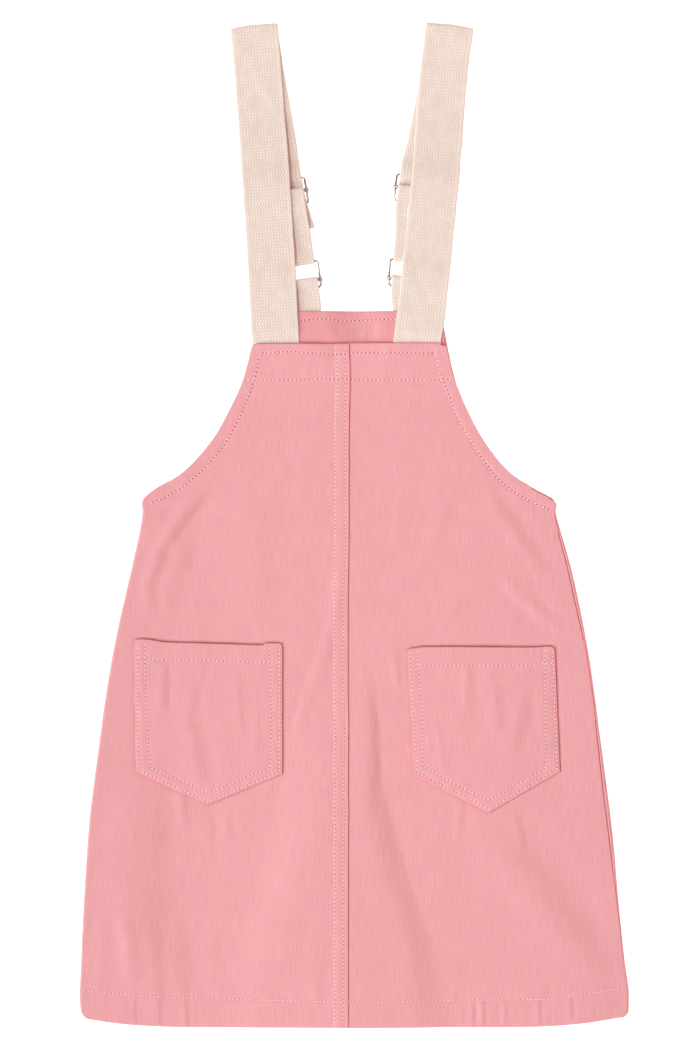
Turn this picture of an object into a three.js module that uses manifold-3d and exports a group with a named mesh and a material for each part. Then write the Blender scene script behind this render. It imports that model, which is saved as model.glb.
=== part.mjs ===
// A child's pinafore dress lying on its back: pink cotton twill, a lapped
// centre front seam, two patch pockets, and two webbing straps that each run
// over the shoulder and through two wire sliders to a loop on the back bib.
// Millimetres, +Z up, +X to the right of the page, +Y from hem to shoulder.
// Working sizes are measured from the foot of the centre front seam; the last
// lines move the group so that its origin is the bottom centre of its box.
import * as THREE from 'three';
import Module from 'manifold-3d';

const CLOTH = 1.0;
const WEBBING = 1.2;
const STRAP_HALF_WIDTH = 19;
const SEAM_GAP = 0.3;
const EDGE_RADIUS = 2.5;
const HEM_DEPTH = 20;
const HEM_EXTRA = 0.8;
const HEM_RISE = 7.5;
const HEM_RISE_FROM = 120;
const HEM_RISE_RUN = 95;
const HEM_EASE_TOP = 120;
const SIDE_EASE = 16;
const BIB_EASE_BOTTOM = 490;
const BUMP_EASE = 14;
const LAP_WIDTH = 10.6;
const LAP_EXTRA = 0.6;
const POCKET_LIFT = 0.5;
const POCKET_PUFF = 0.7;
const BIB_TOP = 545.8;
const BACK_TOP = 571.3;
const FACING_DEPTH = 32.7;
const ARMHOLE_INSET = 0.8;
const LOOP_TAIL = 13;
const STRAP_TAIL_TILT = 0.13;
const WIRE_RADIUS = 0.9;
const SLIDER_LENGTH = 21;
const SLIDER_HALF_WIDTH = 21.3;
const SLIDER_CORNER = 2;
const UPPER_BAR_PLACE = 10.5;
const LOWER_BAR_PLACE = 5.9;
const COLLAR_RADIUS = 1.9;
const COLLAR_LENGTH = 3.2;
const COLLAR_HEIGHT = 2.0;

const TWILL_PINK = 0xeaa3a6;
const POCKET_PINK = 0xeeaaae;
const FACING_PINK = 0xec9ea1;
const WEBBING_CREAM = 0xeedacf;
const STEEL_GREY = 0xb9b7b4;

// Level sections of the dress from hem to bib. left and right are its outer
// edges, and wrap says how far the side edge rolls over there: 1 below the
// underarm, where front and back are seamed, and 0 along the armholes.
const BODY = [
  { y: 0, left: -210.5, right: 219.5, wrap: 1 },
  { y: 5, left: -214.4, right: 223.2, wrap: 1 },
  { y: 19.5, left: -215.2, right: 223.4, wrap: 1 },
  { y: 21, left: -215.2, right: 223.3, wrap: 1 },
  { y: 45, left: -214.4, right: 220.8, wrap: 1 },
  { y: 69, left: -213.6, right: 218.4, wrap: 1 },
  { y: 93, left: -212.4, right: 216, wrap: 1 },
  { y: 117, left: -211, right: 213.9, wrap: 1 },
  { y: 141, left: -209.5, right: 211.9, wrap: 1 },
  { y: 165, left: -207.6, right: 209.4, wrap: 1 },
  { y: 189, left: -204.8, right: 206.4, wrap: 1 },
  { y: 213, left: -201.6, right: 203.2, wrap: 1 },
  { y: 237, left: -198.4, right: 200, wrap: 1 },
  { y: 261, left: -195.1, right: 196.9, wrap: 1 },
  { y: 285, left: -191.2, right: 193.5, wrap: 1 },
  { y: 309, left: -186.8, right: 189.5, wrap: 1 },
  { y: 333, left: -181.6, right: 184.9, wrap: 1 },
  { y: 357, left: -176, right: 179.8, wrap: 1 },
  { y: 381, left: -170.6, right: 173.6, wrap: 1 },
  { y: 400, left: -166.6, right: 168, wrap: 1 },
  { y: 412, left: -165.2, right: 165.2, wrap: 0.9 },
  { y: 417.5, left: -165.8, right: 166, wrap: 0.35 },
  { y: 421, left: -164.6, right: 164, wrap: 0 },
  { y: 430, left: -154.5, right: 147.6, wrap: 0 },
  { y: 439.5, left: -137.4, right: 131.8, wrap: 0 },
  { y: 449, left: -126.2, right: 121.6, wrap: 0 },
  { y: 459, left: -117, right: 113.6, wrap: 0 },
  { y: 473, left: -106.4, right: 104.2, wrap: 0 },
  { y: 487, left: -98.5, right: 96.8, wrap: 0 },
  { y: 502, left: -91, right: 89.8, wrap: 0 },
  { y: 516, left: -84.9, right: 84.8, wrap: 0 },
  { y: 531, left: -80.6, right: 81, wrap: 0 },
  { y: 542, left: -77.9, right: 78, wrap: 0 },
  { y: BIB_TOP, left: -75.2, right: 75.4, wrap: 0 },
];

// The back bib is taller than the front and its edges run on upwards.
const BACK_BIB = [
  { y: 459, left: -116.2, right: 112.8 },
  { y: 473, left: -105.6, right: 103.4 },
  { y: 487, left: -97.7, right: 96 },
  { y: 502, left: -90.2, right: 89.4 },
  { y: 516, left: -84.1, right: 85 },
  { y: 531, left: -79.8, right: 81.2 },
  { y: 546, left: -76.6, right: 78.2 },
  { y: 559, left: -75.6, right: 75.8 },
  { y: BACK_TOP, left: -74.4, right: 73.6 },
];

// How far inside the right edge the side seam shows, because the back panel
// comes round to the front there.
const SIDE_SEAM = [
  { y: 66, inside: 0 },
  { y: 102, inside: 1.2 },
  { y: 144, inside: 2.8 },
  { y: 181, inside: 3.4 },
  { y: 257, inside: 1.6 },
  { y: 306, inside: 1.8 },
  { y: 345, inside: 3 },
  { y: 388, inside: 2.6 },
  { y: 408, inside: 0 },
];

// Broad folds of the front. Each runs from one point to the other; depth is
// negative for a trough and positive for a ridge.
const FOLDS = [
  { x1: -112, y1: 428, x2: -150, y2: 330, width: 9, depth: -0.5 },
  { x1: 112, y1: 428, x2: 168, y2: 362, width: 9, depth: -0.5 },
  { x1: 14, y1: 296, x2: 20, y2: 190, width: 9, depth: -0.6 },
  { x1: 24, y1: 190, x2: 58, y2: 20, width: 14, depth: -0.5 },
  { x1: 116, y1: 150, x2: 190, y2: 70, width: 14, depth: -0.5 },
  { x1: -46, y1: 300, x2: -36, y2: 130, width: 13, depth: 0.7 },
  { x1: -40, y1: 130, x2: -90, y2: 10, width: 20, depth: 0.8 },
  { x1: 100, y1: 60, x2: 120, y2: 5, width: 20, depth: 0.5 },
  { x1: -150, y1: 150, x2: -172, y2: 20, width: 14, depth: -0.5 },
  { x1: 75, y1: 430, x2: 60, y2: 340, width: 16, depth: 0.5 },
];

// Centre lines of the straps where they lie in front of, and behind, the
// shoulder fold, from the bib upwards. upper and lower give the place of each
// slider's sliding bar and its turn.
const STRAPS = {
  left: {
    front: [
      { y: 515, x: -56.2 },
      { y: 549, x: -58.6 },
      { y: 581, x: -60.4 },
      { y: 613, x: -62 },
      { y: 645, x: -64.1 },
      { y: 677, x: -66.2 },
      { y: 709, x: -68.6 },
      { y: 741, x: -71.1 },
      { y: 773, x: -73.6 },
      { y: 801, x: -76 },
    ],
    back: [
      { y: 600, x: -45.6 },
      { y: 610, x: -47 },
      { y: 636, x: -50.2 },
      { y: 669, x: -55.6 },
      { y: 677, x: -56.8 },
      { y: 727, x: -64.6 },
      { y: 762, x: -71 },
      { y: 801, x: -76.8 },
    ],
    loop: [
      { y: 550, x: -41 },
      { y: 572, x: -41.7 },
      { y: 600, x: -43.4 },
    ],
    top: 800.6,
    foldTurn: 0.13,
    upper: { x: -55.1, y: 665.2, turn: 0.16 },
    lower: { x: -44.1, y: 594.1, turn: 0.15 },
    tailEnd: 640,
    tailTilt: STRAP_TAIL_TILT,
  },
  right: {
    front: [
      { y: 515, x: 49.8 },
      { y: 547, x: 54.4 },
      { y: 571, x: 57.8 },
      { y: 606, x: 61.6 },
      { y: 651, x: 66.2 },
      { y: 689, x: 70 },
      { y: 738, x: 73.6 },
      { y: 765, x: 76.1 },
      { y: 801, x: 80.6 },
    ],
    back: [
      { y: 600, x: 54 },
      { y: 611, x: 54.7 },
      { y: 640, x: 56.2 },
      { y: 669, x: 58.2 },
      { y: 682, x: 60.4 },
      { y: 703, x: 65.2 },
      { y: 753, x: 74.1 },
      { y: 801, x: 80.4 },
    ],
    loop: [
      { y: 550, x: 56.4 },
      { y: 572, x: 54.7 },
      { y: 600, x: 52.6 },
    ],
    top: 801,
    foldTurn: -0.05,
    upper: { x: 58.3, y: 668.6, turn: -0.12 },
    lower: { x: 53.2, y: 596.9, turn: -0.07 },
    tailEnd: 643,
    tailTilt: 0,
  },
};

const POCKETS = {
  left: { topLeft: [-172, 309], topRight: [-52.8, 306.4], bottomLeft: [-170.4, 203.7],
    bottomRight: [-52.8, 202], tip: [-112.8, 176.8] },
  right: { topLeft: [46.2, 302.9], topRight: [164.8, 304], bottomLeft: [51.9, 200.8],
    bottomRight: [169, 203.8], tip: [111.9, 170.8] },
};

const HALF_TURN = Math.PI;
const QUARTER_TURN = Math.PI / 2;

function clamp(value, low, high) {
  return Math.min(Math.max(value, low), high);
}

function mix(a, b, share) {
  return a + (b - a) * share;
}

function smooth(low, high, value) {
  const share = clamp((value - low) / (high - low), 0, 1);
  return share * share * (3 - 2 * share);
}

// Reads one named column of a table at a height y. eased gives level stretches
// at the rows, and straight runs directly from row to row.
function column(table, name, y, eased = false) {
  const rows = [...table].sort((a, b) => a.y - b.y);
  if (y <= rows[0].y) return rows[0][name];
  for (let i = 1; i < rows.length; i += 1) {
    if (y <= rows[i].y) {
      const share = (y - rows[i - 1].y) / (rows[i].y - rows[i - 1].y);
      return mix(rows[i - 1][name], rows[i][name], eased ? smooth(0, 1, share) : share);
    }
  }
  return rows[rows.length - 1][name];
}

function foldHeight(x, y) {
  let height = 0;
  for (const fold of FOLDS) {
    const dx = fold.x2 - fold.x1;
    const dy = fold.y2 - fold.y1;
    const length = Math.hypot(dx, dy);
    const along = ((x - fold.x1) * dx + (y - fold.y1) * dy) / length;
    const across = ((x - fold.x1) * dy - (y - fold.y1) * dx) / length;
    const beyond = along - clamp(along, 0, length);
    const reach = Math.hypot(across, beyond) / fold.width;
    height += fold.depth * Math.exp(-reach * reach);
  }
  return height;
}

// The bib stands up over the strap ends that are sewn in behind it.
const BIB_STACK = [
  { y: 500, height: 3.1 },
  { y: 523, height: 5.0 },
  { y: 538, height: 6.35 },
  { y: BIB_TOP, height: 7.5 },
];
const BASE_HEIGHT = 3.1;
const HEM_HEIGHT = 4.5;
const BIB_MIDDLE_HEIGHT = 4.0;

// Height of the front panels' outer face above the surface.
function frontHeight(x, y) {
  let height = BASE_HEIGHT + foldHeight(x, y);
  height += (HEM_HEIGHT - BASE_HEIGHT) * (1 - smooth(HEM_DEPTH, HEM_EASE_TOP, y));
  height += (BIB_MIDDLE_HEIGHT - BASE_HEIGHT) * smooth(BIB_EASE_BOTTOM, BIB_TOP, y);
  const stack = column(BIB_STACK, 'height', y);
  for (const strap of Object.values(STRAPS)) {
    const away = Math.abs(x - column(strap.front, 'x', y));
    const past = STRAP_HALF_WIDTH + 2;
    const near = 1 - smooth(past, past + BUMP_EASE, away);
    height = mix(height, Math.max(height, stack), near);
  }
  const fromLeft = Math.max(x - column(BODY, 'left', y) - EDGE_RADIUS, 0) / SIDE_EASE;
  const fromRight = Math.max(column(BODY, 'right', y) - EDGE_RADIUS - x, 0) / SIDE_EASE;
  const side = Math.exp(-fromLeft * fromLeft) + Math.exp(-fromRight * fromRight);
  return mix(height, 2 * EDGE_RADIUS, side * column(BODY, 'wrap', y));
}

// The hem bends up towards the sides, and so do the sections near it.
function liftedY(x, y) {
  const outward = clamp((Math.abs(x) - HEM_RISE_FROM) / HEM_RISE_RUN, 0, 1);
  return y + HEM_RISE * outward ** 2.5 * (1 - smooth(HEM_DEPTH / 2, 4 * HEM_DEPTH, y));
}

function frontFace(x, y) {
  const step = 0.5;
  const slopeX = (frontHeight(x + step, y) - frontHeight(x - step, y)) / (2 * step);
  const slopeY = (frontHeight(x, y + step) - frontHeight(x, y - step)) / (2 * step);
  return {
    point: new THREE.Vector3(x, liftedY(x, y), frontHeight(x, y)),
    normal: new THREE.Vector3(-slopeX, -slopeY, 1).normalize(),
  };
}

// A closed wall between a grid of outer points and the matching inner points.
function closedWall(outer, inner) {
  const rows = outer.length;
  const columns = outer[0].length;
  const positions = [];
  for (const grid of [outer, inner]) {
    for (const row of grid) {
      for (const point of row) positions.push(point.x, point.y, point.z);
    }
  }
  const index = [];
  const at = (side, i, j) => side * rows * columns + i * columns + j;
  const quad = (a, b, c, d) => index.push(a, b, c, a, c, d);
  for (let i = 0; i < rows - 1; i += 1) {
    for (let j = 0; j < columns - 1; j += 1) {
      quad(at(0, i, j), at(0, i, j + 1), at(0, i + 1, j + 1), at(0, i + 1, j));
      quad(at(1, i + 1, j), at(1, i + 1, j + 1), at(1, i, j + 1), at(1, i, j));
    }
  }
  for (let j = 0; j < columns - 1; j += 1) {
    quad(at(0, 0, j + 1), at(0, 0, j), at(1, 0, j), at(1, 0, j + 1));
    quad(at(0, rows - 1, j), at(0, rows - 1, j + 1), at(1, rows - 1, j + 1), at(1, rows - 1, j));
  }
  for (let i = 0; i < rows - 1; i += 1) {
    quad(at(0, i, 0), at(0, i + 1, 0), at(1, i + 1, 0), at(1, i, 0));
    quad(at(0, i + 1, columns - 1), at(0, i, columns - 1), at(1, i, columns - 1),
      at(1, i + 1, columns - 1));
  }
  return solid(positions, index);
}

// Geometry from points and triangles, turned round if its faces point inwards.
function solid(positions, index) {
  let volume = 0;
  for (let k = 0; k < index.length; k += 3) {
    const [a, b, c] = [0, 1, 2].map(
      (n) => new THREE.Vector3().fromArray(positions, 3 * index[k + n]));
    volume += a.dot(b.cross(c));
  }
  if (volume < 0) index.reverse();
  const geometry = new THREE.BufferGeometry();
  geometry.setAttribute('position', new THREE.Float32BufferAttribute(positions, 3));
  geometry.setIndex(index);
  geometry.computeVertexNormals();
  return geometry;
}

// Side edge of a front panel: sign is -1 on the left and 1 on the right. The
// panel curls down to meet the back panel's edge at the side seam.
const CURL_STEPS = [0, 1.2, 2.5, 4.0, 7.5, 13];
const CURL_GAP = 0.085;

function frontEdge(sign, y, distance) {
  const outline = column(BODY, sign < 0 ? 'left' : 'right', y);
  const wrap = column(BODY, 'wrap', y);
  const inside = sign < 0 ? 0 : column(SIDE_SEAM, 'inside', y);
  const seamAngle = Math.acos(clamp(1 - inside / EDGE_RADIUS, 0, 1));
  const curl = Math.max(wrap * (QUARTER_TURN - seamAngle) - CURL_GAP, 0);
  const past = Math.max(inside - EDGE_RADIUS, 0) + (curl > 0 || wrap === 0 ? 0 : SEAM_GAP);
  const centre = sign * outline - (wrap > 0 && inside >= EDGE_RADIUS
    ? EDGE_RADIUS + past : EDGE_RADIUS * mix(Math.sin(curl), 1, wrap));
  if (distance < EDGE_RADIUS * curl) {
    const angle = curl - distance / EDGE_RADIUS;
    const top = frontHeight(sign * centre, y);
    const x = sign * (centre + EDGE_RADIUS * Math.sin(angle));
    return {
      point: new THREE.Vector3(x, liftedY(x, y), top - EDGE_RADIUS * (1 - Math.cos(angle))),
      normal: new THREE.Vector3(sign * Math.sin(angle), 0, Math.cos(angle)),
    };
  }
  return frontFace(sign * (centre - distance + EDGE_RADIUS * curl), y);
}

function insetAlong(face, depth) {
  return face.point.clone().addScaledVector(face.normal, -depth);
}

// One half of the front. The left half laps over the right one along the
// centre seam, where its turned edge makes a raised strip.
function frontPanel(sign) {
  const seamX = sign < 0 ? -0.2 : 0.1;
  const lapSteps = sign < 0 ? [0, 1, LAP_WIDTH - 0.8, LAP_WIDTH] : [0];
  const freeColumns = 10;
  const outer = [];
  const inner = [];
  for (const { y } of BODY) {
    const edge = CURL_STEPS.map((distance) => frontEdge(sign, y, distance));
    const from = seamX + sign * lapSteps[lapSteps.length - 1];
    const to = edge[edge.length - 1].point.x;
    const faces = lapSteps.map((step) => frontFace(seamX + sign * step, y));
    for (let k = 1; k < freeColumns; k += 1) {
      faces.push(frontFace(mix(from, to, k / freeColumns), y));
    }
    faces.push(...edge.reverse());
    const outerRow = [];
    const innerRow = [];
    faces.forEach((face, j) => {
      const lap = sign < 0 && j < lapSteps.length - 1 ? LAP_EXTRA : 0;
      const deep = y < HEM_DEPTH && j < faces.length - 4 ? HEM_EXTRA : 0;
      outerRow.push(insetAlong(face, -lap));
      innerRow.push(insetAlong(face, CLOTH + deep));
    });
    outer.push(outerRow);
    inner.push(innerRow);
  }
  return closedWall(outer, inner);
}

// Edge of the back panel: it lies on the surface and rolls up at the sides, on
// the right all the way over to the seam on the front.
const BACK_STEPS = [0, 1.3, 2.6, 3.9, 5.3, 6.7, 8.2, 12];

function backEdge(sign, row, distance) {
  const outline = sign * (sign < 0 ? row.left : row.right);
  const wrap = row.wrap ?? 0;
  const inside = sign < 0 ? 0 : column(SIDE_SEAM, 'inside', row.y);
  const seamAngle = Math.acos(clamp(1 - inside / EDGE_RADIUS, 0, 1));
  const curl = Math.max(wrap * (QUARTER_TURN + seamAngle) - CURL_GAP, 0);
  const over = wrap * Math.max(inside - EDGE_RADIUS, 0);
  const inset = ARMHOLE_INSET * (1 - wrap) * (row.wrap === undefined ? 0 : 1);
  const centre = outline - inset - EDGE_RADIUS * mix(Math.sin(Math.min(curl, QUARTER_TURN)), 1, wrap);
  if (distance < over) {
    const x = sign * (centre - over + distance);
    return {
      point: new THREE.Vector3(x, liftedY(x, row.y), 2 * EDGE_RADIUS),
      normal: new THREE.Vector3(0, 0, 1),
    };
  }
  if (distance < over + EDGE_RADIUS * curl) {
    const angle = curl - (distance - over) / EDGE_RADIUS;
    const x = sign * (centre + EDGE_RADIUS * Math.sin(angle));
    return {
      point: new THREE.Vector3(x, liftedY(x, row.y), EDGE_RADIUS * (1 - Math.cos(angle))),
      normal: new THREE.Vector3(sign * Math.sin(angle), 0, -Math.cos(angle)),
    };
  }
  const x = sign * (centre - (distance - over - EDGE_RADIUS * curl));
  return underFace(x, row.y);
}

function underFace(x, y) {
  return {
    point: new THREE.Vector3(x, liftedY(x, y), 0),
    normal: new THREE.Vector3(0, 0, -1),
  };
}

function backPanel() {
  const rows = [...BODY.filter((row) => row.y < BACK_BIB[0].y), ...BACK_BIB];
  const freeColumns = 5;
  const outer = [];
  const inner = [];
  for (const row of rows) {
    const left = BACK_STEPS.slice(0, 5).map((distance) => backEdge(-1, row, distance));
    const right = BACK_STEPS.map((distance) => backEdge(1, row, distance)).reverse();
    const from = left[left.length - 1].point.x;
    const to = right[0].point.x;
    const faces = [...left];
    for (let k = 1; k < freeColumns; k += 1) {
      faces.push(underFace(mix(from, to, k / freeColumns), row.y));
    }
    faces.push(...right);
    const first = left.length;
    const last = first + freeColumns - 1;
    outer.push(faces.map((face) => face.point));
    inner.push(faces.map((face, j) => {
      const deep = row.y < HEM_DEPTH && j >= first && j < last ? HEM_EXTRA : 0;
      return insetAlong(face, CLOTH + deep);
    }));
  }
  return closedWall(outer, inner);
}

// The back bib's facing covers the ends of the webbing loops.
const FACING_LOW = 2.3;
const FACING_HIGH = 5.5;
const FACING_EASE = 10;

function facingHeight(x, y) {
  let cover = 0;
  for (const strap of Object.values(STRAPS)) {
    const away = Math.abs(x - column(strap.loop, 'x', y));
    const past = STRAP_HALF_WIDTH + 4;
    cover = Math.max(cover, 1 - smooth(past, past + FACING_EASE, away));
  }
  const clear = BACK_TOP - LOOP_TAIL - 1.5;
  const overLoop = smooth(clear - FACING_EASE, clear, y);
  return mix(FACING_LOW, FACING_HIGH, cover * overLoop);
}

function backFacing() {
  const rowCount = 6;
  const columnCount = 24;
  const outer = [];
  const inner = [];
  for (let i = 0; i <= rowCount; i += 1) {
    const y = mix(BACK_TOP - FACING_DEPTH, BACK_TOP, i / rowCount);
    const left = column(BACK_BIB, 'left', y) + 1;
    const right = column(BACK_BIB, 'right', y) - 1;
    const outerRow = [];
    const innerRow = [];
    for (let j = 0; j <= columnCount; j += 1) {
      const x = mix(left, right, j / columnCount);
      const top = facingHeight(x, y);
      outerRow.push(new THREE.Vector3(x, y, top));
      innerRow.push(new THREE.Vector3(x, y, top - CLOTH));
    }
    outer.push(outerRow);
    inner.push(innerRow);
  }
  return closedWall(outer, inner);
}

// A five-sided patch pocket, made from the front panel's own points moved out
// and slightly filled in the middle.
function pocket(shape) {
  const rowCount = 9;
  const columnCount = 12;
  const hemRows = 1;
  const outer = [];
  const inner = [];
  const [tipX, tipY] = shape.tip;
  const [leftX, leftY] = shape.bottomLeft;
  const [rightX, rightY] = shape.bottomRight;
  const tipShare = (tipX - leftX) / (rightX - leftX);
  const bottomAt = (x) => (x < tipX
    ? mix(leftY, tipY, (x - leftX) / (tipX - leftX))
    : mix(tipY, rightY, (x - tipX) / (rightX - tipX)));
  for (let i = 0; i <= rowCount; i += 1) {
    const down = i / rowCount;
    const outerRow = [];
    const innerRow = [];
    for (let j = 0; j <= columnCount; j += 1) {
      const halfway = j / (columnCount / 2);
      const acrossShare = halfway <= 1 ? tipShare * halfway : mix(tipShare, 1, halfway - 1);
      const topX = mix(shape.topLeft[0], shape.topRight[0], acrossShare);
      const bottomX = mix(leftX, rightX, acrossShare);
      const x = mix(topX, bottomX, down);
      const sag = Math.sin(HALF_TURN * acrossShare);
      const topY = mix(shape.topLeft[1], shape.topRight[1], acrossShare) - sag;
      const y = mix(topY, bottomAt(bottomX), down);
      const edgeShare = Math.sin(HALF_TURN * acrossShare) * Math.cos(QUARTER_TURN * down);
      const lift = POCKET_LIFT + POCKET_PUFF * Math.sqrt(Math.max(edgeShare, 0));
      const face = frontFace(x, y);
      const thick = CLOTH + (i <= hemRows ? HEM_EXTRA / 2 : 0);
      outerRow.push(insetAlong(face, -lift - thick));
      innerRow.push(insetAlong(face, -lift));
    }
    outer.push(outerRow);
    inner.push(innerRow);
  }
  return closedWall(outer, inner);
}

// A flat woven band along stations that give its centre and the turn of its
// width about the vertical.
function band(stations, halfWidth, thickness) {
  const positions = [];
  const index = [];
  stations.forEach((station, i) => {
    const before = stations[Math.max(i - 1, 0)].centre;
    const after = stations[Math.min(i + 1, stations.length - 1)].centre;
    const across = new THREE.Vector3(Math.cos(station.turn), Math.sin(station.turn), 0);
    const face = across.clone().cross(after.clone().sub(before)).normalize();
    for (const [side, up] of [[-1, -1], [1, -1], [1, 1], [-1, 1]]) {
      const corner = station.centre.clone()
        .addScaledVector(across, side * halfWidth)
        .addScaledVector(face, up * thickness / 2);
      positions.push(corner.x, corner.y, corner.z);
    }
    if (i === 0) return;
    for (let k = 0; k < 4; k += 1) {
      const low = 4 * (i - 1);
      const next = (k + 1) % 4;
      index.push(low + k, low + next, low + 4 + next, low + k, low + 4 + next, low + 4 + k);
    }
  });
  const end = 4 * (stations.length - 1);
  index.push(0, 2, 1, 0, 3, 2, end, end + 1, end + 2, end, end + 2, end + 3);
  return solid(positions, index);
}

// Centre and turn of a band at a height y: square to its centre line, but in
// line with the bars where it passes a slider. Each hold gives such a place.
function alongBand(table, y, holds) {
  const reach = 14;
  const rise = column(table, 'x', y + reach) - column(table, 'x', y - reach);
  let x = column(table, 'x', y);
  let turn = -Math.atan(rise / (2 * reach));
  for (const hold of holds) {
    const share = 1 - smooth(hold.reach, hold.reach + 22, Math.abs(y - hold.y));
    x = mix(x, hold.x - Math.tan(hold.turn) * (y - hold.y), share);
    turn = mix(turn, hold.turn, share);
  }
  return { x, turn };
}

function plainRun(table, from, to, step, heightAt, holds = []) {
  const count = Math.max(Math.round(Math.abs(to - from) / step), 1);
  const run = [];
  for (let k = 0; k <= count; k += 1) {
    const y = mix(from, to, k / count);
    const { x, turn } = alongBand(table, y, holds);
    run.push({ centre: new THREE.Vector3(x, y, heightAt(y)), turn });
  }
  return run;
}

// Half a turn round a bar or at the shoulder, without its two end stations.
function halfTurn(centreY, centreZ, radius, fromTop, forward, xAt, turnAt) {
  const steps = 6;
  const run = [];
  for (let k = 1; k < steps; k += 1) {
    const share = k / steps;
    const angle = HALF_TURN * share;
    const y = centreY + forward * radius * Math.sin(angle);
    const z = centreZ + (fromTop ? 1 : -1) * radius * Math.cos(angle);
    run.push({ centre: new THREE.Vector3(xAt(share), y, z), turn: turnAt(share) });
  }
  return run;
}

const FLOOR_LAYER = WEBBING / 2;
const WRAP_RADIUS = WIRE_RADIUS + SEAM_GAP + WEBBING / 2;
const LAYER_STEP = WEBBING + SEAM_GAP;
const OVER_END_BAR = 2 * WIRE_RADIUS + SEAM_GAP + WEBBING / 2;
const UNDER_BAR = SEAM_GAP + WEBBING / 2;
const UPPER_BAR_HEIGHT = UNDER_BAR + LAYER_STEP + WRAP_RADIUS;
const LOOP_BAR_HEIGHT = OVER_END_BAR + WRAP_RADIUS;
const RING_HEIGHT = FLOOR_LAYER + WRAP_RADIUS;
const SHOULDER_RADIUS = 2.2;

function topBarY(strap) {
  return strap.lower.y + (SLIDER_LENGTH - LOWER_BAR_PLACE) * Math.cos(strap.lower.turn);
}

function bottomBarY(strap) {
  return strap.lower.y - LOWER_BAR_PLACE * Math.cos(strap.lower.turn);
}

function strapBand(strap) {
  const bar = strap.upper.y;
  const ring = topBarY(strap);
  const ends = UPPER_BAR_PLACE * Math.cos(strap.upper.turn);
  const ringX = strap.lower.x
    - (SLIDER_LENGTH - LOWER_BAR_PLACE) * Math.sin(strap.lower.turn);
  const holds = [
    { x: strap.upper.x, y: bar, turn: strap.upper.turn, reach: 15 },
    { x: ringX, y: ring, turn: strap.lower.turn, reach: 5 },
  ];
  const shoulderZ = FLOOR_LAYER + SHOULDER_RADIUS;
  const shoulderY = strap.top - SHOULDER_RADIUS - FLOOR_LAYER;
  const frontProfile = [
    { y: 523, z: 2.6 },
    { y: 538, z: 3.9 },
    { y: 546, z: 5.1 },
    { y: 556, z: 6.6 },
    { y: BACK_TOP, z: 6.8 },
    { y: strap.lower.y - 4, z: 8.0 },
    { y: strap.lower.y + 5, z: 8.0 },
    { y: ring + 4, z: 7.1 },
    { y: bar - 28, z: 6.9 },
    { y: bar - ends - 2, z: 7.5 },
    { y: bar + 4, z: 7.6 },
    { y: bar + 34, z: 4.2 },
    { y: bar + 70, z: 2.7 },
    { y: bar + 100, z: 3.0 },
    { y: shoulderY, z: shoulderZ + SHOULDER_RADIUS },
  ];
  const runningProfile = [
    { y: bar - ends - 15, z: FLOOR_LAYER },
    { y: bar - ends - 1.5, z: OVER_END_BAR },
    { y: bar - ends + 1.5, z: OVER_END_BAR },
    { y: bar - 4, z: UNDER_BAR },
    { y: bar + 4, z: UNDER_BAR },
    { y: bar + ends - 1.5, z: OVER_END_BAR },
    { y: bar + ends + 1.5, z: OVER_END_BAR },
    { y: bar + ends + 15, z: FLOOR_LAYER },
  ];
  const returnProfile = [
    { y: ring, z: RING_HEIGHT + WRAP_RADIUS },
    { y: ring + 14, z: 3.7 },
    { y: strap.tailEnd - 4, z: 4.0 },
    { y: bar - ends - 3, z: OVER_END_BAR + 2 * LAYER_STEP + 0.1 },
    { y: bar, z: UPPER_BAR_HEIGHT + WRAP_RADIUS },
  ];
  const running = (y) => column(runningProfile, 'z', y, true);
  const stations = [
    ...plainRun(strap.front, 523, shoulderY, 11, (y) => column(frontProfile, 'z', y, true)),
    ...halfTurn(shoulderY, shoulderZ, SHOULDER_RADIUS, true, 1,
      (share) => mix(column(strap.front, 'x', 801), column(strap.back, 'x', 801), share),
      () => strap.foldTurn),
    ...plainRun(strap.back, shoulderY, bar + 28, 14, () => FLOOR_LAYER, holds),
    ...plainRun(strap.back, bar + 25, bar - 25, 2.5, running, holds),
    ...plainRun(strap.back, bar - 28, ring, 14, () => FLOOR_LAYER, holds),
    ...halfTurn(ring, RING_HEIGHT, WRAP_RADIUS, false, -1,
      () => ringX, () => strap.lower.turn),
    ...plainRun(strap.back, ring, bar, 4, (y) => column(returnProfile, 'z', y, true), holds),
    ...halfTurn(bar, UPPER_BAR_HEIGHT, WRAP_RADIUS, true, 1,
      () => strap.upper.x, () => strap.upper.turn),
  ];
  for (const station of plainRun(strap.back, bar, strap.tailEnd, 2.6, running, holds)) {
    const along = bar - station.centre.y;
    station.centre.z += LAYER_STEP;
    station.centre.x += strap.tailTilt * along;
    station.turn += strap.tailTilt * smooth(6, 20, along);
    stations.push(station);
  }
  return band(stations, STRAP_HALF_WIDTH, WEBBING);
}

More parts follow.
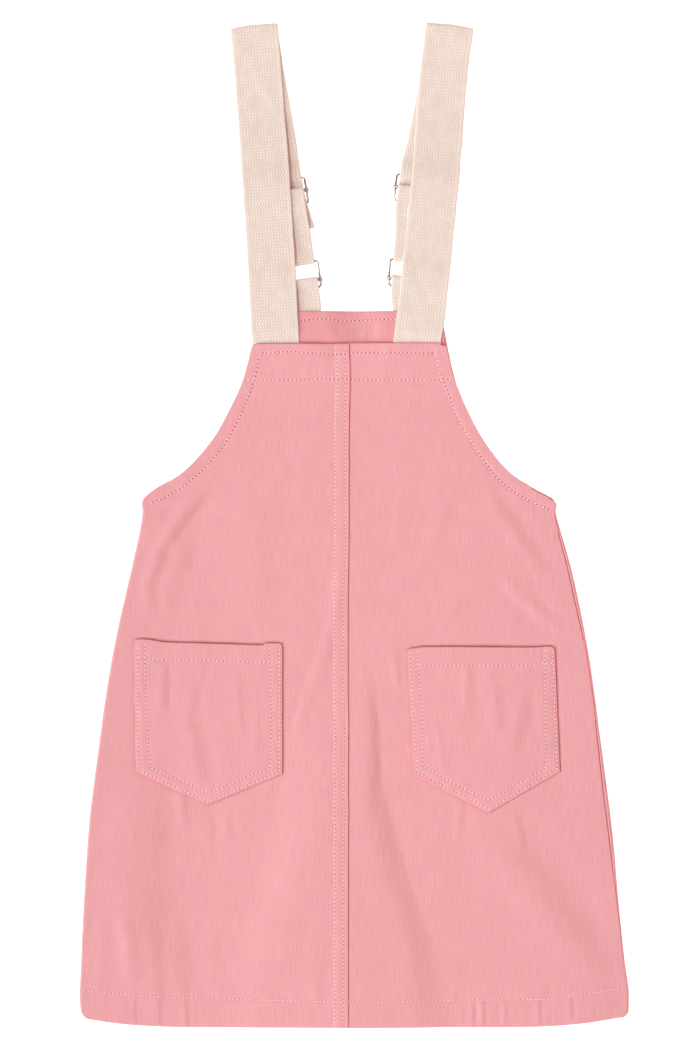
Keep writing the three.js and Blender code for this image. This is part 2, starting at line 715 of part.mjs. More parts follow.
// The short loop sewn into the back bib, folded round the lower slider's bar.
function loopBand(strap) {
  const bar = strap.lower.y;
  const bottomBar = bottomBarY(strap);
  const tail = BACK_TOP - LOOP_TAIL;
  const holds = [{ x: strap.lower.x, y: bar, turn: strap.lower.turn, reach: 7 }];
  const lowLayer = CLOTH + SEAM_GAP + WEBBING / 2;
  const lowProfile = [
    { y: BACK_TOP + 3, z: lowLayer },
    { y: bottomBar - 2, z: OVER_END_BAR },
  ];
  const highProfile = [
    { y: BACK_TOP + 3, z: lowLayer + LAYER_STEP },
    { y: bottomBar - 2, z: OVER_END_BAR + LAYER_STEP + 0.4 },
    { y: bar, z: LOOP_BAR_HEIGHT + WRAP_RADIUS },
  ];
  const stations = [
    ...plainRun(strap.loop, tail, bar, 4, (y) => column(lowProfile, 'z', y, true), holds),
    ...halfTurn(bar, LOOP_BAR_HEIGHT, WRAP_RADIUS, false, 1,
      () => strap.lower.x, () => strap.lower.turn),
    ...plainRun(strap.loop, bar, tail, 3, (y) => column(highProfile, 'z', y, true), holds),
  ];
  return band(stations, STRAP_HALF_WIDTH, WEBBING);
}

// Wire frame of a slider: a rounded rectangle whose side wires bow up a little
// where the sliding bar rides on them. Its local origin is its bottom bar.
function sliderFrame(bottomHeight, topHeight, barPlace) {
  const path = [];
  const cornerSteps = 4;
  const corners = [
    [SLIDER_HALF_WIDTH, 0, -QUARTER_TURN],
    [SLIDER_HALF_WIDTH, SLIDER_LENGTH, 0],
    [-SLIDER_HALF_WIDTH, SLIDER_LENGTH, QUARTER_TURN],
    [-SLIDER_HALF_WIDTH, 0, HALF_TURN],
  ];
  const sides = [SLIDER_CORNER + 1.5, barPlace - 1.8, barPlace + 1.8,
    SLIDER_LENGTH - SLIDER_CORNER - 1.5];
  corners.forEach(([x, y, start], n) => {
    const cx = x - Math.sign(x) * SLIDER_CORNER;
    const cy = y + (y > 0 ? -1 : 1) * SLIDER_CORNER;
    for (let k = 0; k <= cornerSteps; k += 1) {
      const angle = start + QUARTER_TURN * k / cornerSteps;
      path.push([cx + SLIDER_CORNER * Math.cos(angle), cy + SLIDER_CORNER * Math.sin(angle)]);
    }
    if (n === 0) sides.forEach((place) => path.push([SLIDER_HALF_WIDTH, place]));
    if (n === 2) [...sides].reverse().forEach((place) => path.push([-SLIDER_HALF_WIDTH, place]));
  });
  const centres = path.map(([x, y]) => {
    const plain = mix(bottomHeight, topHeight, y / SLIDER_LENGTH);
    const bow = 1 - smooth(1.8, barPlace - 0.5, Math.abs(y - barPlace));
    return new THREE.Vector3(x, y, mix(plain, COLLAR_HEIGHT, bow));
  });
  const sectionSides = 8;
  const positions = [];
  const index = [];
  centres.forEach((centre, i) => {
    const before = centres[(i + centres.length - 1) % centres.length];
    const after = centres[(i + 1) % centres.length];
    const tangent = after.clone().sub(before).normalize();
    const outward = new THREE.Vector3(tangent.y, -tangent.x, 0).normalize();
    const upward = outward.clone().cross(tangent).negate();
    for (let k = 0; k < sectionSides; k += 1) {
      const angle = 2 * HALF_TURN * (k + 0.5) / sectionSides;
      const spot = centre.clone()
        .addScaledVector(outward, WIRE_RADIUS * Math.cos(angle))
        .addScaledVector(upward, WIRE_RADIUS * Math.sin(angle));
      positions.push(spot.x, spot.y, spot.z);
      const here = i * sectionSides;
      const there = ((i + 1) % centres.length) * sectionSides;
      const next = (k + 1) % sectionSides;
      index.push(here + k, here + next, there + next, here + k, there + next, there + k);
    }
  });
  return solid(positions, index);
}

const wasm = await Module();
wasm.setup();

// A manifold solid from a geometry whose points are shared by place.
function toManifold(geometry) {
  const source = geometry.getAttribute('position');
  const keys = new Map();
  const vertProperties = [];
  const place = [];
  for (let k = 0; k < source.count; k += 1) {
    const spot = [source.getX(k), source.getY(k), source.getZ(k)];
    const key = spot.map((value) => value.toFixed(4)).join(' ');
    if (!keys.has(key)) {
      keys.set(key, keys.size);
      vertProperties.push(...spot);
    }
    place.push(keys.get(key));
  }
  const order = geometry.index ? [...geometry.index.array] : place.map((unused, k) => k);
  const triVerts = [];
  for (let k = 0; k < order.length; k += 3) {
    const [a, b, c] = order.slice(k, k + 3).map((n) => place[n]);
    if (a !== b && b !== c && c !== a) triVerts.push(a, b, c);
  }
  return new wasm.Manifold(new wasm.Mesh({
    numProp: 3,
    vertProperties: new Float32Array(vertProperties),
    triVerts: new Uint32Array(triVerts),
  }));
}

// The slider's sliding bar: a wire with a collar round each side wire.
function sliderBar(barHeight) {
  const reach = SLIDER_HALF_WIDTH + 1.2;
  const wire = new THREE.CylinderGeometry(WIRE_RADIUS, WIRE_RADIUS, 2 * reach, 10);
  wire.rotateZ(QUARTER_TURN);
  wire.translate(0, 0, barHeight);
  let joined = toManifold(wire);
  const inner = WIRE_RADIUS + SEAM_GAP;
  const profile = [
    new THREE.Vector2(inner, -COLLAR_LENGTH / 2),
    new THREE.Vector2(COLLAR_RADIUS, -COLLAR_LENGTH / 2),
    new THREE.Vector2(COLLAR_RADIUS, COLLAR_LENGTH / 2),
    new THREE.Vector2(inner, COLLAR_LENGTH / 2),
    new THREE.Vector2(inner, -COLLAR_LENGTH / 2),
  ];
  for (const sign of [-1, 1]) {
    const collar = new THREE.LatheGeometry(profile, 12);
    collar.translate(sign * SLIDER_HALF_WIDTH, 0, COLLAR_HEIGHT);
    joined = joined.add(toManifold(collar));
  }
  const mesh = joined.getMesh();
  return solid([...mesh.vertProperties], [...mesh.triVerts]);
}

function material(colour, roughness, metalness) {
  return new THREE.MeshStandardMaterial({ color: colour, roughness, metalness });
}

function cloth(colour) {
  return material(colour, 0.9, 0);
}

const dress = new THREE.Group();

function addPiece(name, geometry, finish, parent = dress) {
  const mesh = new THREE.Mesh(geometry, finish);
  mesh.name = name;
  parent.add(mesh);
}

addPiece('front_left', frontPanel(-1), cloth(TWILL_PINK));
addPiece('front_right', frontPanel(1), cloth(TWILL_PINK));
addPiece('back', backPanel(), cloth(TWILL_PINK));
addPiece('back_facing', backFacing(), cloth(FACING_PINK));

for (const [side, strap] of Object.entries(STRAPS)) {
  addPiece(`pocket_${side}`, pocket(POCKETS[side]), cloth(POCKET_PINK));
  addPiece(`strap_${side}`, strapBand(strap), cloth(WEBBING_CREAM));
  addPiece(`loop_${side}`, loopBand(strap), cloth(WEBBING_CREAM));

  const sliders = [
    {
      name: `upper_${side}`,
      seat: strap.upper,
      barPlace: UPPER_BAR_PLACE,
      topHeight: WIRE_RADIUS,
      barHeight: UPPER_BAR_HEIGHT,
    },
    {
      name: `lower_${side}`,
      seat: strap.lower,
      barPlace: LOWER_BAR_PLACE,
      topHeight: RING_HEIGHT,
      barHeight: LOOP_BAR_HEIGHT,
    },
  ];
  for (const slider of sliders) {
    const seat = new THREE.Group();
    seat.position.set(slider.seat.x, slider.seat.y, 0);
    seat.rotation.z = slider.seat.turn;
    dress.add(seat);
    const frame = sliderFrame(WIRE_RADIUS, slider.topHeight, slider.barPlace);
    frame.translate(0, -slider.barPlace, 0);
    addPiece(`slider_frame_${slider.name}`, frame, material(STEEL_GREY, 0.3, 1), seat);
    addPiece(`slider_bar_${slider.name}`, sliderBar(slider.barHeight),
      material(STEEL_GREY, 0.3, 1), seat);
  }
}

dress.updateMatrixWorld(true);
const box = new THREE.Box3().setFromObject(dress);
dress.position.set(-(box.min.x + box.max.x) / 2, -(box.min.y + box.max.y) / 2, -box.min.z);

export default dress;
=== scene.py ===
"""A child's pinafore dress lying flat, front up, on a pale surface.

The dress has two front halves lapped at the centre, a taller back with a
facing, two patch pockets, and two webbing straps that run over the shoulders
and through wire sliders to loops on the back bib. Each operator makes one
piece or group of like pieces at its real place, in metres.

Working sizes are millimetres from the foot of the centre front seam, with x to
the right, y from hem to shoulder and z up. on_frame moves them to the frame.
"""
import math
from collections import namedtuple

import bpy
import numpy as np
from bpy.props import FloatProperty, FloatVectorProperty, PointerProperty
from bpy.types import Operator, Panel, PropertyGroup
from mathutils.bvhtree import BVHTree
from mathutils.kdtree import KDTree
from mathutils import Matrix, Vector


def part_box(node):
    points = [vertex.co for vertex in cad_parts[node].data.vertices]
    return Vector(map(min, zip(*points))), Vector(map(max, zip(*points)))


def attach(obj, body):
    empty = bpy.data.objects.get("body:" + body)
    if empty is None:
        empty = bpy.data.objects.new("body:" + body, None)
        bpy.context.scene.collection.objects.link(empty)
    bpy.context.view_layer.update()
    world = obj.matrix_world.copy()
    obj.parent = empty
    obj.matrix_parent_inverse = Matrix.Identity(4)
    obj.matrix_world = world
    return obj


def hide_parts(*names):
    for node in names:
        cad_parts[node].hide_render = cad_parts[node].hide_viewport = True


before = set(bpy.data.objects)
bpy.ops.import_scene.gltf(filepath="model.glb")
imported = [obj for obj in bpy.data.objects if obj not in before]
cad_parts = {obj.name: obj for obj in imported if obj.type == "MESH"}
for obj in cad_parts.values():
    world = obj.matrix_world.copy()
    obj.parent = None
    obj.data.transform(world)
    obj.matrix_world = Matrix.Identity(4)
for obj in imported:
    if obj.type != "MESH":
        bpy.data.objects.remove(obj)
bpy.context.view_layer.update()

bl_info = {
    "name": "Flat-laid pinafore dress",
    "version": (1, 0, 0),
    "blender": (4, 5, 0),
    "location": "3D View > Sidebar > Dress",
    "description": "Makes a child's pinafore dress of cloth, webbing, wire sliders and stitches",
    "category": "Add Mesh",
}

BODY_NAME = "root"
METRES = 0.001


class Table:
    """Measured rows with named columns, read at any place along the first one."""

    def __init__(self, names, rows):
        names = names.split()
        self.columns = {
            name: np.array(values, float) for name, values in zip(names, zip(*rows))
        }
        self.places = self.columns[names[0]]

    def row_before(self, place):
        """Number of the row before each place."""
        return np.clip(np.searchsorted(self.places, place) - 1, 0, len(self.places) - 2)

    def straight(self, name, place):
        """Straight lines from row to row."""
        return np.interp(place, self.places, self.columns[name])

    def eased(self, name, y):
        """Level at each row, with a smooth rise or fall between rows."""
        ys = self.places
        values = self.columns[name]
        k = self.row_before(y)
        return mix(values[k], values[k + 1], smooth(ys[k], ys[k + 1], y))

    def curved(self, name, y):
        """A smooth curve through the rows that never swings past them."""
        ys = self.places
        values = self.columns[name]
        slope = np.diff(values) / np.diff(ys)
        tangent = np.concatenate(([slope[0]], np.zeros(len(slope) - 1), [slope[-1]]))
        for k in range(1, len(slope)):
            if slope[k - 1] * slope[k] > 0:
                tangent[k] = 2 * slope[k - 1] * slope[k] / (slope[k - 1] + slope[k])
        y = np.clip(y, ys[0], ys[-1])
        k = self.row_before(y)
        width = ys[k + 1] - ys[k]
        t = (y - ys[k]) / width
        return (
            (2 * t ** 3 - 3 * t ** 2 + 1) * values[k]
            + (t ** 3 - 2 * t ** 2 + t) * width * tangent[k]
            + (3 * t ** 2 - 2 * t ** 3) * values[k + 1]
            + (t ** 3 - t ** 2) * width * tangent[k + 1]
        )


def mix(a, b, share):
    """What lies between a and b, at a share of the way."""
    return a + (b - a) * share


def smooth(low, high, value):
    """0 up to low and 1 from high on, with a smooth rise between them."""
    share = np.clip((value - low) / (high - low), 0.0, 1.0)
    return share * share * (3.0 - 2.0 * share)


# Cloth and seams. Heights are above the floor, and gaps keep the pieces clear.
EDGE_RADIUS = 1.9
SEAM_GAP = 0.3
SEAM_HALF_GAP = 0.2
CURL_GAP = 0.085
OPEN_SEAM_GAP = 0.62
HEM_DEPTH = 20.0
HEM_RISE = 7.5
HEM_RISE_FROM = 120.0
HEM_RISE_RUN = 95.0
HEM_RISE_POWER = 2.5
HEM_EASE_TOP = 120.0
SIDE_EASE = 16.0
BIB_EASE_BOTTOM = 490.0
BIB_TOP = 545.8
BACK_TOP = 571.3
FACING_DEPTH = 32.7
ARMHOLE_INSET = 0.8
BASE_HEIGHT = 3.6
HEM_HEIGHT = 4.5
BIB_MIDDLE_HEIGHT = 5.3
LAP_WIDTH = 10.6
LAP_EXTRA = 0.5

# Millimetres to one unit of the flat places that the finishes follow
GRAIN_UNIT = 100

# Outline of the body from hem to bib; wrap is 1 where the side is seamed.
BODY = Table("y left right wrap", [
    (0, -210.5, 219.5, 1), (2, -212.6, 221.6, 1), (5, -214.4, 223.2, 1),
    (19.5, -215.2, 223.4, 1), (45, -214.4, 220.8, 1), (69, -213.6, 218.4, 1),
    (93, -212.4, 216, 1), (117, -211, 213.9, 1), (141, -209.5, 211.9, 1),
    (165, -207.6, 209.4, 1), (189, -204.8, 206.4, 1), (213, -201.6, 203.2, 1),
    (237, -198.4, 200, 1), (261, -195.1, 196.9, 1), (285, -191.2, 193.5, 1),
    (309, -186.8, 189.5, 1), (333, -181.6, 184.9, 1), (357, -176, 179.8, 1),
    (381, -170.6, 173.6, 1), (400, -166.6, 168, 1), (412, -165.2, 165.2, 0.9),
    (417.5, -165.8, 166, 0.35), (421, -164.6, 164, 0), (430, -154.5, 147.6, 0),
    (439.5, -137.4, 131.8, 0), (449, -126.2, 121.6, 0), (459, -117, 113.6, 0),
    (473, -106.4, 104.2, 0), (487, -98.5, 96.8, 0), (502, -91, 89.8, 0),
    (516, -84.9, 84.8, 0), (531, -80.6, 81, 0), (542, -77.9, 78, 0),
    (544.6, -76.9, 77.1, 0), (BIB_TOP, -75.2, 75.4, 0),
])

BACK_BIB = Table("y left right", [
    (459, -116.2, 112.8), (473, -105.6, 103.4), (487, -97.7, 96), (502, -90.2, 89.4),
    (516, -84.1, 85), (531, -79.8, 81.2), (546, -76.6, 78.2), (559, -75.6, 75.8),
    (BACK_TOP, -74.4, 73.6),
])

# How far inside the right edge the side seam shows on the front.
SIDE_SEAM = Table("y inside", [
    (66, 0), (102, 1.2), (144, 2.8), (181, 3.4), (257, 1.6), (306, 1.8), (345, 3),
    (388, 2.4), (405, 1.2), (412, 0),
])

# How far the centre seam strays from a straight line.
SEAM_WANDER = Table("y x", [
    (0, -0.5), (140, -0.5), (170, -0.1), (190, -0.5), (240, -0.1), (270, -0.6), (346, -0.6),
    (370, -0.1), (400, 0.2), (460, 0.2), (490, 0.4), (505, 0.9), (522, 1.0), (540, 0.4),
    (BIB_TOP, 0.2),
])

# Height of the straps' ends inside the bib, which lift its front.
BIB_STACK = Table("y height", [(500, 3.6), (523, 4.9), (538, 6.2), (BIB_TOP, 7.1)])

# Folds of the front, each with its width, how far the cloth falls from the
# left of its path to the right, and its path from the top. A rise is below 0.
FOLDS = [
    (5.5, 1.25, [(-100, 440), (-108, 432), (-122, 415), (-138, 397), (-148, 381), (-158, 354),
                 (-160, 318)]),
    (9.0, 0.70, [(-122, 404), (-138, 362), (-148, 322)]),
    (3.0, 0.45, [(-134, 421), (-160, 409)]),
    (6.0, 0.46, [(106, 444), (123, 413), (139, 391), (155, 370), (178, 352)]),
    (4.0, 0.26, [(140, 348), (161, 328), (182, 312)]),
    (5.0, -0.32, [(114, 362), (134, 341), (156, 320)]),
    (7.0, 0.36, [(85, 430), (70, 381), (52, 344)]),
    (6.0, -0.35, [(38, 420), (28, 376)]),
    (5.0, -0.50, [(-8, 372), (-17, 326), (-26, 290), (-42, 254)]),
    (4.0, -0.36, [(-34, 270), (-48, 230)]),
    (17.0, -0.50, [(-92, 450), (-92, 373), (-98, 300)]),
    (18.0, -0.95, [(-28, 262), (-38, 186), (-60, 110), (-82, 40), (-96, -30)]),
    (12.0, 0.74, [(14, 295), (20, 237), (22, 190), (34, 141), (46, 100), (60, 50), (66, -50)]),
    (5.0, 0.40, [(16, 290), (22, 237), (22, 205), (19, 165)]),
    (3.0, -0.35, [(37, 228), (38, 202)]),
    (3.0, 0.30, [(38, 302), (43, 266)]),
    (3.0, -0.28, [(33, 268), (42, 238)]),
    (15.0, 0.95, [(112, 176), (145, 130), (171, 93), (200, 58), (214, 20)]),
    (24.0, 1.35, [(-148, 225), (-158, 140), (-156, 90), (-152, 10)]),
    (4.0, 0.45, [(-132, 196), (-127, 154)]),
    (3.0, 0.28, [(-95, 180), (-95, 144)]),
    (3.0, 0.26, [(-110, 172), (-109, 140)]),
    (3.0, 0.26, [(92, 186), (88, 144)]),
    (3.0, 0.26, [(134, 174), (141, 138)]),
    (6.0, 0.45, [(-194, 96), (-198, 10)]),
    (5.0, -0.40, [(-183, 96), (-177, 20)]),
    (5.0, 0.22, [(-155, 92), (-149, 0)]),
    (5.0, 0.18, [(-134, 104), (-131, 10)]),
    (6.0, -0.24, [(-111, 112), (-117, 20)]),
    (6.0, 0.30, [(-19, 86), (-25, 0)]),
    (1.7, 0.24, [(-170, 24), (-171, -2)]),
    (1.7, 0.24, [(-151, 24), (-151, -2)]),
    (2.0, 0.30, [(-130, 24), (-129, -4)]),
    (1.7, 0.34, [(99, 24), (100, -4)]),
    (1.7, 0.32, [(107, 24), (108, -2)]),
    (1.7, -0.26, [(122, 24), (122, -2)]),
    (1.7, 0.32, [(152, 24), (153, -2)]),
    (1.7, 0.30, [(177, 26), (178, 0)]),
    (4.0, 0.42, [(-146, 294), (-147, 246)]),
    (5.0, 0.42, [(-120, 282), (-124, 256), (-127, 228)]),
    (4.0, 0.34, [(-87, 294), (-83, 228)]),
    (4.0, 0.30, [(-71, 264), (-71, 208)]),
    (6.0, 0.45, [(-124, 250), (-119, 218), (-112, 184)]),
    (4.0, 0.36, [(97, 298), (97, 250)]),
    (5.0, 0.42, [(147, 276), (138, 240), (128, 208)]),
    (5.0, 0.34, [(117, 288), (121, 230)]),
    (4.0, 0.32, [(74, 246), (79, 196)]),
    (2.6, 0.20, [(-36, 540), (-29, 518)]),
    (2.6, 0.16, [(-18, 538), (-19, 516)]),
    (2.4, 0.26, [(44, 513), (86, 509)]),
    (2.0, 0.20, [(-84, 525), (-56, 520)]),
    (1.6, 0.28, [(-183, 299), (-174, 289)]),
]
CREST_SHARE = 0.20
FADE_SHARE = 0.3

# The great soft ridge along the centre seam, and the trough that it falls into
RIDGE = Table("y left crest trough right height depth", [
    (-20, -150, -9, 94, 150, 3.4, 0.5),
    (45, -140, -9, 92, 150, 3.5, 0.5),
    (87, -130, -9, 82, 140, 3.5, 0.5),
    (130, -118, -9, 64, 120, 3.3, 0.5),
    (190, -92, -4, 46, 90, 2.3, 0.5),
    (245, -60, 3, 37, 60, 1.2, 0.4),
    (300, -40, 6, 32, 50, 0, 0),
    (340, -40, 6, 32, 50, 0, 0),
])
FALL_LEAN = 1.35


def ridge_height(x, y):
    """Height of the great ridge and trough, which grow and widen towards the hem."""
    left, crest, trough, right, height, depth = (
        RIDGE.curved(name, y) for name in ("left", "crest", "trough", "right", "height", "depth"))
    fall = np.clip((x - crest) / (trough - crest), 0, 1) ** FALL_LEAN
    level = mix(height, -depth, smooth(0, 1, fall))
    return level * smooth(left, crest, x) * (1 - smooth(trough, right, x))


def fold_height(x, y, folds=FOLDS):
    """Heights of all folds, each easing out beside its path and at both ends."""
    height = np.zeros(np.broadcast(x, y).shape)
    for width, fall, path in folds:
        steps = [math.dist(a, b) for a, b in zip(path[:-1], path[1:])]
        nearest = np.full(height.shape, np.inf)
        across = np.zeros(height.shape)
        share = np.zeros(height.shape)
        for k, ((x1, y1), (x2, y2), length) in enumerate(zip(path[:-1], path[1:], steps)):
            along = ((x - x1) * (x2 - x1) + (y - y1) * (y2 - y1)) / length
            beside = ((x2 - x1) * (y - y1) - (y2 - y1) * (x - x1)) / length
            on_line = np.clip(along, 0, length)
            distance = beside ** 2 + (along - on_line) ** 2
            nearer = distance < nearest
            across = np.where(nearer, beside, across)
            share = np.where(nearer, (sum(steps[:k]) + on_line) / sum(steps), share)
            nearest = np.minimum(nearest, distance)
        fade = np.exp(0.5 - nearest / (2 * width ** 2))
        fade *= smooth(0, FADE_SHARE, share) * (1 - smooth(1 - FADE_SHARE, 1, share))
        height += (CREST_SHARE * abs(fall) - fall * across / width) * fade
    return height


# Uneven ripples: how high, how large across and along, and the seed's own part
FRONT_RIPPLES = ((0.15, 12, 48, 5), (0.30, 41, 74, 7))
YARN_RIPPLES = ((0.04, 5, 21, 6),)
BACK_RIPPLES = ((0.06, 38, 60, 21),)
FACING_RIPPLES = ((0.08, 11, 14, 31),)
POCKET_RIPPLES = ((0.16, 10, 42, 3),)
PUCKERS = ((0.10, 3.1, 3.3, 0), (0.12, 7.5, 8.5, 1))
EDGE_WANDER = ((0.18, 9, 1, 0),)
CUPPING = ((0.10, 17, 1, 1),)
RIPPLE_GRID = 64


def ripples(kinds, x, y, seed=0):
    """Height of smooth uneven ripples, the same on every run."""
    height = 0
    for amount, size_x, size_y, own_seed in kinds:
        generator = np.random.default_rng(seed + own_seed)
        grid = generator.uniform(-1, 1, (RIPPLE_GRID, RIPPLE_GRID))
        gx = np.asarray(x) / size_x
        gy = np.asarray(y) / size_y
        column = np.floor(gx).astype(int)
        row = np.floor(gy).astype(int)
        rows = [
            mix(grid[k % RIPPLE_GRID, column % RIPPLE_GRID],
                grid[k % RIPPLE_GRID, (column + 1) % RIPPLE_GRID], smooth(0, 1, gx - column))
            for k in (row, row + 1)
        ]
        height = height + amount * mix(*rows, smooth(0, 1, gy - row))
    return height


# Webbing straps: thickness, width, the loops' hidden ends and the shoulder fold
WEBBING = 1.2
STRAP_HALF_WIDTH = 19.0
LOOP_TAIL = 13.0
SHOULDER_RADIUS = 2.2

# Wire sliders. A bar's place is its distance from the frame's lower wire.
WIRE_RADIUS = 0.9
SLIDER_LENGTH = 21.0
SLIDER_HALF_WIDTH = 21.3
SLIDER_CORNER = 2.4
UPPER_BAR_PLACE = 10.5
LOWER_BAR_PLACE = 5.9
COLLAR_RADIUS = 1.9
COLLAR_LENGTH = 3.0
COLLAR_HEIGHT = 2.0

# Heights of the middles of the webbing's layers and of the bars that they pass
FLOOR_LAYER = WEBBING / 2
WRAP_RADIUS = WIRE_RADIUS + SEAM_GAP + WEBBING / 2
LAYER_STEP = WEBBING + SEAM_GAP
OVER_END_BAR = 2 * WIRE_RADIUS + SEAM_GAP + WEBBING / 2
UNDER_BAR = SEAM_GAP + WEBBING / 2
UPPER_BAR_HEIGHT = UNDER_BAR + LAYER_STEP + WRAP_RADIUS
LOOP_BAR_HEIGHT = OVER_END_BAR + WRAP_RADIUS
RING_HEIGHT = FLOOR_LAYER + WRAP_RADIUS

# Each strap's centre line in front of and behind the shoulder, its loop's, and
# the turn of its sliders. The sliding bars' places come from the frame.
STRAPS = {
    "left": {
        "front": Table("y x", [
            (515, -56.2), (549, -58.6), (581, -60.4), (613, -62), (645, -64.1),
            (677, -66.2), (709, -68.6), (741, -71.1), (773, -73.6), (801, -76),
        ]),
        "back": Table("y x", [
            (600, -45.6), (610, -47), (636, -50.2), (669, -55.6), (677, -56.8),
            (727, -64.6), (762, -71), (801, -76.8),
        ]),
        "loop": Table("y x", [(550, -41), (572, -41.7), (600, -43.4)]),
        "top": 800.6,
        "upper_turn": 0.16,
        "lower_turn": 0.15,
        "tail_end": 633.5,
        "tail_tilt": 0.13,
    },
    "right": {
        "front": Table("y x", [
            (515, 49.8), (547, 54.4), (571, 57.8), (606, 61.6), (651, 66.2),
            (689, 70), (738, 73.6), (765, 76.1), (801, 80.6),
        ]),
        "back": Table("y x", [
            (600, 54), (611, 54.7), (640, 56.2), (669, 58.2), (682, 60.4),
            (703, 65.2), (753, 74.1), (801, 80.4),
        ]),
        "loop": Table("y x", [(550, 56.4), (572, 54.7), (600, 52.6)]),
        "top": 801.0,
        "upper_turn": -0.12,
        "lower_turn": -0.07,
        "tail_end": 643.0,
        "tail_tilt": 0.0,
    },
}


def middle(node):
    """Middle of a CAD node's box, in the frame's millimetres."""
    low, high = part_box(node)
    return np.array([(a + b) / 2 / METRES for a, b in zip(low, high)])


# The upper left sliding bar's middle in working sizes ties them to the frame.
TIE_POINT = np.array([-55.1, 665.2])
SHIFT = np.append(middle("slider_bar_upper_left")[:2] - TIE_POINT, 0.0)

for side_name, strap_sizes in STRAPS.items():
    for level in ("upper", "lower"):
        seat = middle(f"slider_bar_{level}_{side_name}") - SHIFT
        strap_sizes[level] = (seat[0], seat[1])


def on_frame(points):
    """Places in metres on the frame, from working sizes."""
    return (np.asarray(points, float) + SHIFT) * METRES


def lifted(x, y):
    """The hem bends up towards the sides, and so does the cloth near it."""
    outward = np.clip((np.abs(x) - HEM_RISE_FROM) / HEM_RISE_RUN, 0, 1)
    low_part = 1 - smooth(HEM_DEPTH / 2, 4 * HEM_DEPTH, y)
    return y + HEM_RISE * outward ** HEM_RISE_POWER * low_part


FINE_STEP = 0.25


def length_to(points):
    """Length along a line of points, from its start to each of them."""
    steps = np.linalg.norm(np.diff(points, axis=0), axis=1)
    return np.concatenate(([0], np.cumsum(steps)))


def fine_row(row):
    """The row's points again, a fine step apart."""
    row = np.asarray(row, float)
    run = length_to(row)
    fine = np.linspace(0, run[-1], int(run[-1] / FINE_STEP) + 2)
    return np.stack([np.interp(fine, run, row[:, k]) for k in (0, 1)], axis=1)


def row_tree(rows):
    """A search tree over the rows' points."""
    points = np.concatenate([fine_row(row)[::2] for row in rows])
    tree = KDTree(len(points))
    for k, (x, y) in enumerate(points):
        tree.insert((x, y, 0.0), k)
    tree.balance()
    return tree


def row_distance(tree, x, y):
    """Distance of each place from the nearest row."""
    flat = zip(np.ravel(x), np.ravel(y))
    return np.reshape([tree.find((a, b, 0.0))[2] for a, b in flat], np.shape(x))


# Pocket corners, mouths and stitch rows, in working sizes
POCKETS = {
    "left": {
        "top_left": (-172, 309), "top_right": (-52.8, 306.4), "bottom_left": (-170.4, 203.7),
        "bottom_right": (-52.8, 202), "tip": (-112.8, 176.8),
        "mouth": Table("across y", [
            (0, 309.6), (0.047, 310.1), (0.107, 309.6), (0.208, 307.7), (0.41, 306.9),
            (0.61, 306.2), (0.745, 305.6), (0.866, 305.3), (0.885, 306.7), (1, 306.9),
        ]),
        "hem": [
            (-168, 295.0), (-161.6, 294.4), (-147.2, 292.8), (-131.2, 292.5), (-115.2, 292.8),
            (-99.2, 292), (-83.2, 291.8), (-64, 290.9), (-56, 290.4),
        ],
        "outer": [
            (-168.3, 303.4), (-168.9, 268.8), (-168.7, 236.8), (-167.6, 205.2), (-112.4, 179.6),
            (-55.3, 204.2), (-55, 252.8), (-55.3, 303.0),
        ],
        "inner": [
            (-162.9, 306.8), (-162.6, 268.8), (-160.8, 236.8), (-158.7, 207.4),
            (-112, 186.9), (-63.3, 207.2), (-61.8, 236.8), (-62.9, 268.8), (-63.7, 303.8),
        ],
    },
    "right": {
        "top_left": (46.2, 302.9), "top_right": (164.8, 304), "bottom_left": (51.9, 200.8),
        "bottom_right": (169, 203.8), "tip": (111.9, 170.8),
        "mouth": Table("across y", [
            (0, 302.4), (0.075, 303.2), (0.09, 303.8), (0.35, 303.9), (0.6, 303.7),
            (0.83, 303.4), (0.97, 304.2), (1, 303.8),
        ]),
        "hem": [
            (55.4, 289), (80.8, 288.8), (107.4, 288.7), (127.4, 288.8), (142.2, 289.4),
            (156.8, 290.2), (163.0, 290.4),
        ],
        "outer": [
            (48.9, 300.4), (49.2, 286.2), (50.4, 262.2), (52.2, 238.2), (53.6, 219.4),
            (54.6, 203.2), (112.4, 174.2), (166.4, 205.8), (165.4, 232.8), (164.2, 259.4),
            (163.4, 286.2), (162.4, 300.8),
        ],
        "inner": [
            (54.8, 301.2), (55, 290.2), (57.4, 262.2), (58.4, 238.2), (59.4, 208.8),
            (74.2, 199.8), (92.8, 189.6), (111.4, 181.4), (126.2, 188.6), (147.4, 201.2),
            (158.2, 208.2), (157, 232.8), (156.6, 259.4), (156.2, 286.2), (155.8, 301.4),
        ],
    },
}
POCKET_WIDTH = 119.0
POCKET_DEPTH = 125.0
POCKET_CLOTH = 0.55
POCKET_LIFT = 0.10
POCKET_PUFF = 0.75
POCKET_CORNER = 5.0
# Painted shade round the rim of each pocket
POCKET_RIM_SHADE = 0.4
POCKET_GROOVE = 0.30
POCKET_GROOVE_REACH = 2.2
MOUTH_DIP = 0.8
MOUTH_REACH = 1.5
MOUTH_SPAN = (0.03, 0.97)
MOUTH_POINTS = 48
POCKET_HEM_RELIEF = 0.15
POCKET_HEM_EASE = (-1.1, 0.2)
PUFF_AT_MOUTH = 0.15
POCKET_OUTLINE = ("top_left", "bottom_left", "tip", "bottom_right", "top_right")
POCKET_EDGES = row_tree([
    [shape[name] for name in POCKET_OUTLINE] for shape in POCKETS.values()
])


def mouth_row(shape):
    """Points along the open top edge of a pocket, just clear of its corners."""
    share = np.linspace(*MOUTH_SPAN, MOUTH_POINTS)
    x = mix(shape["top_left"][0], shape["top_right"][0], share)
    return np.column_stack([x, shape["mouth"].curved("y", share)])


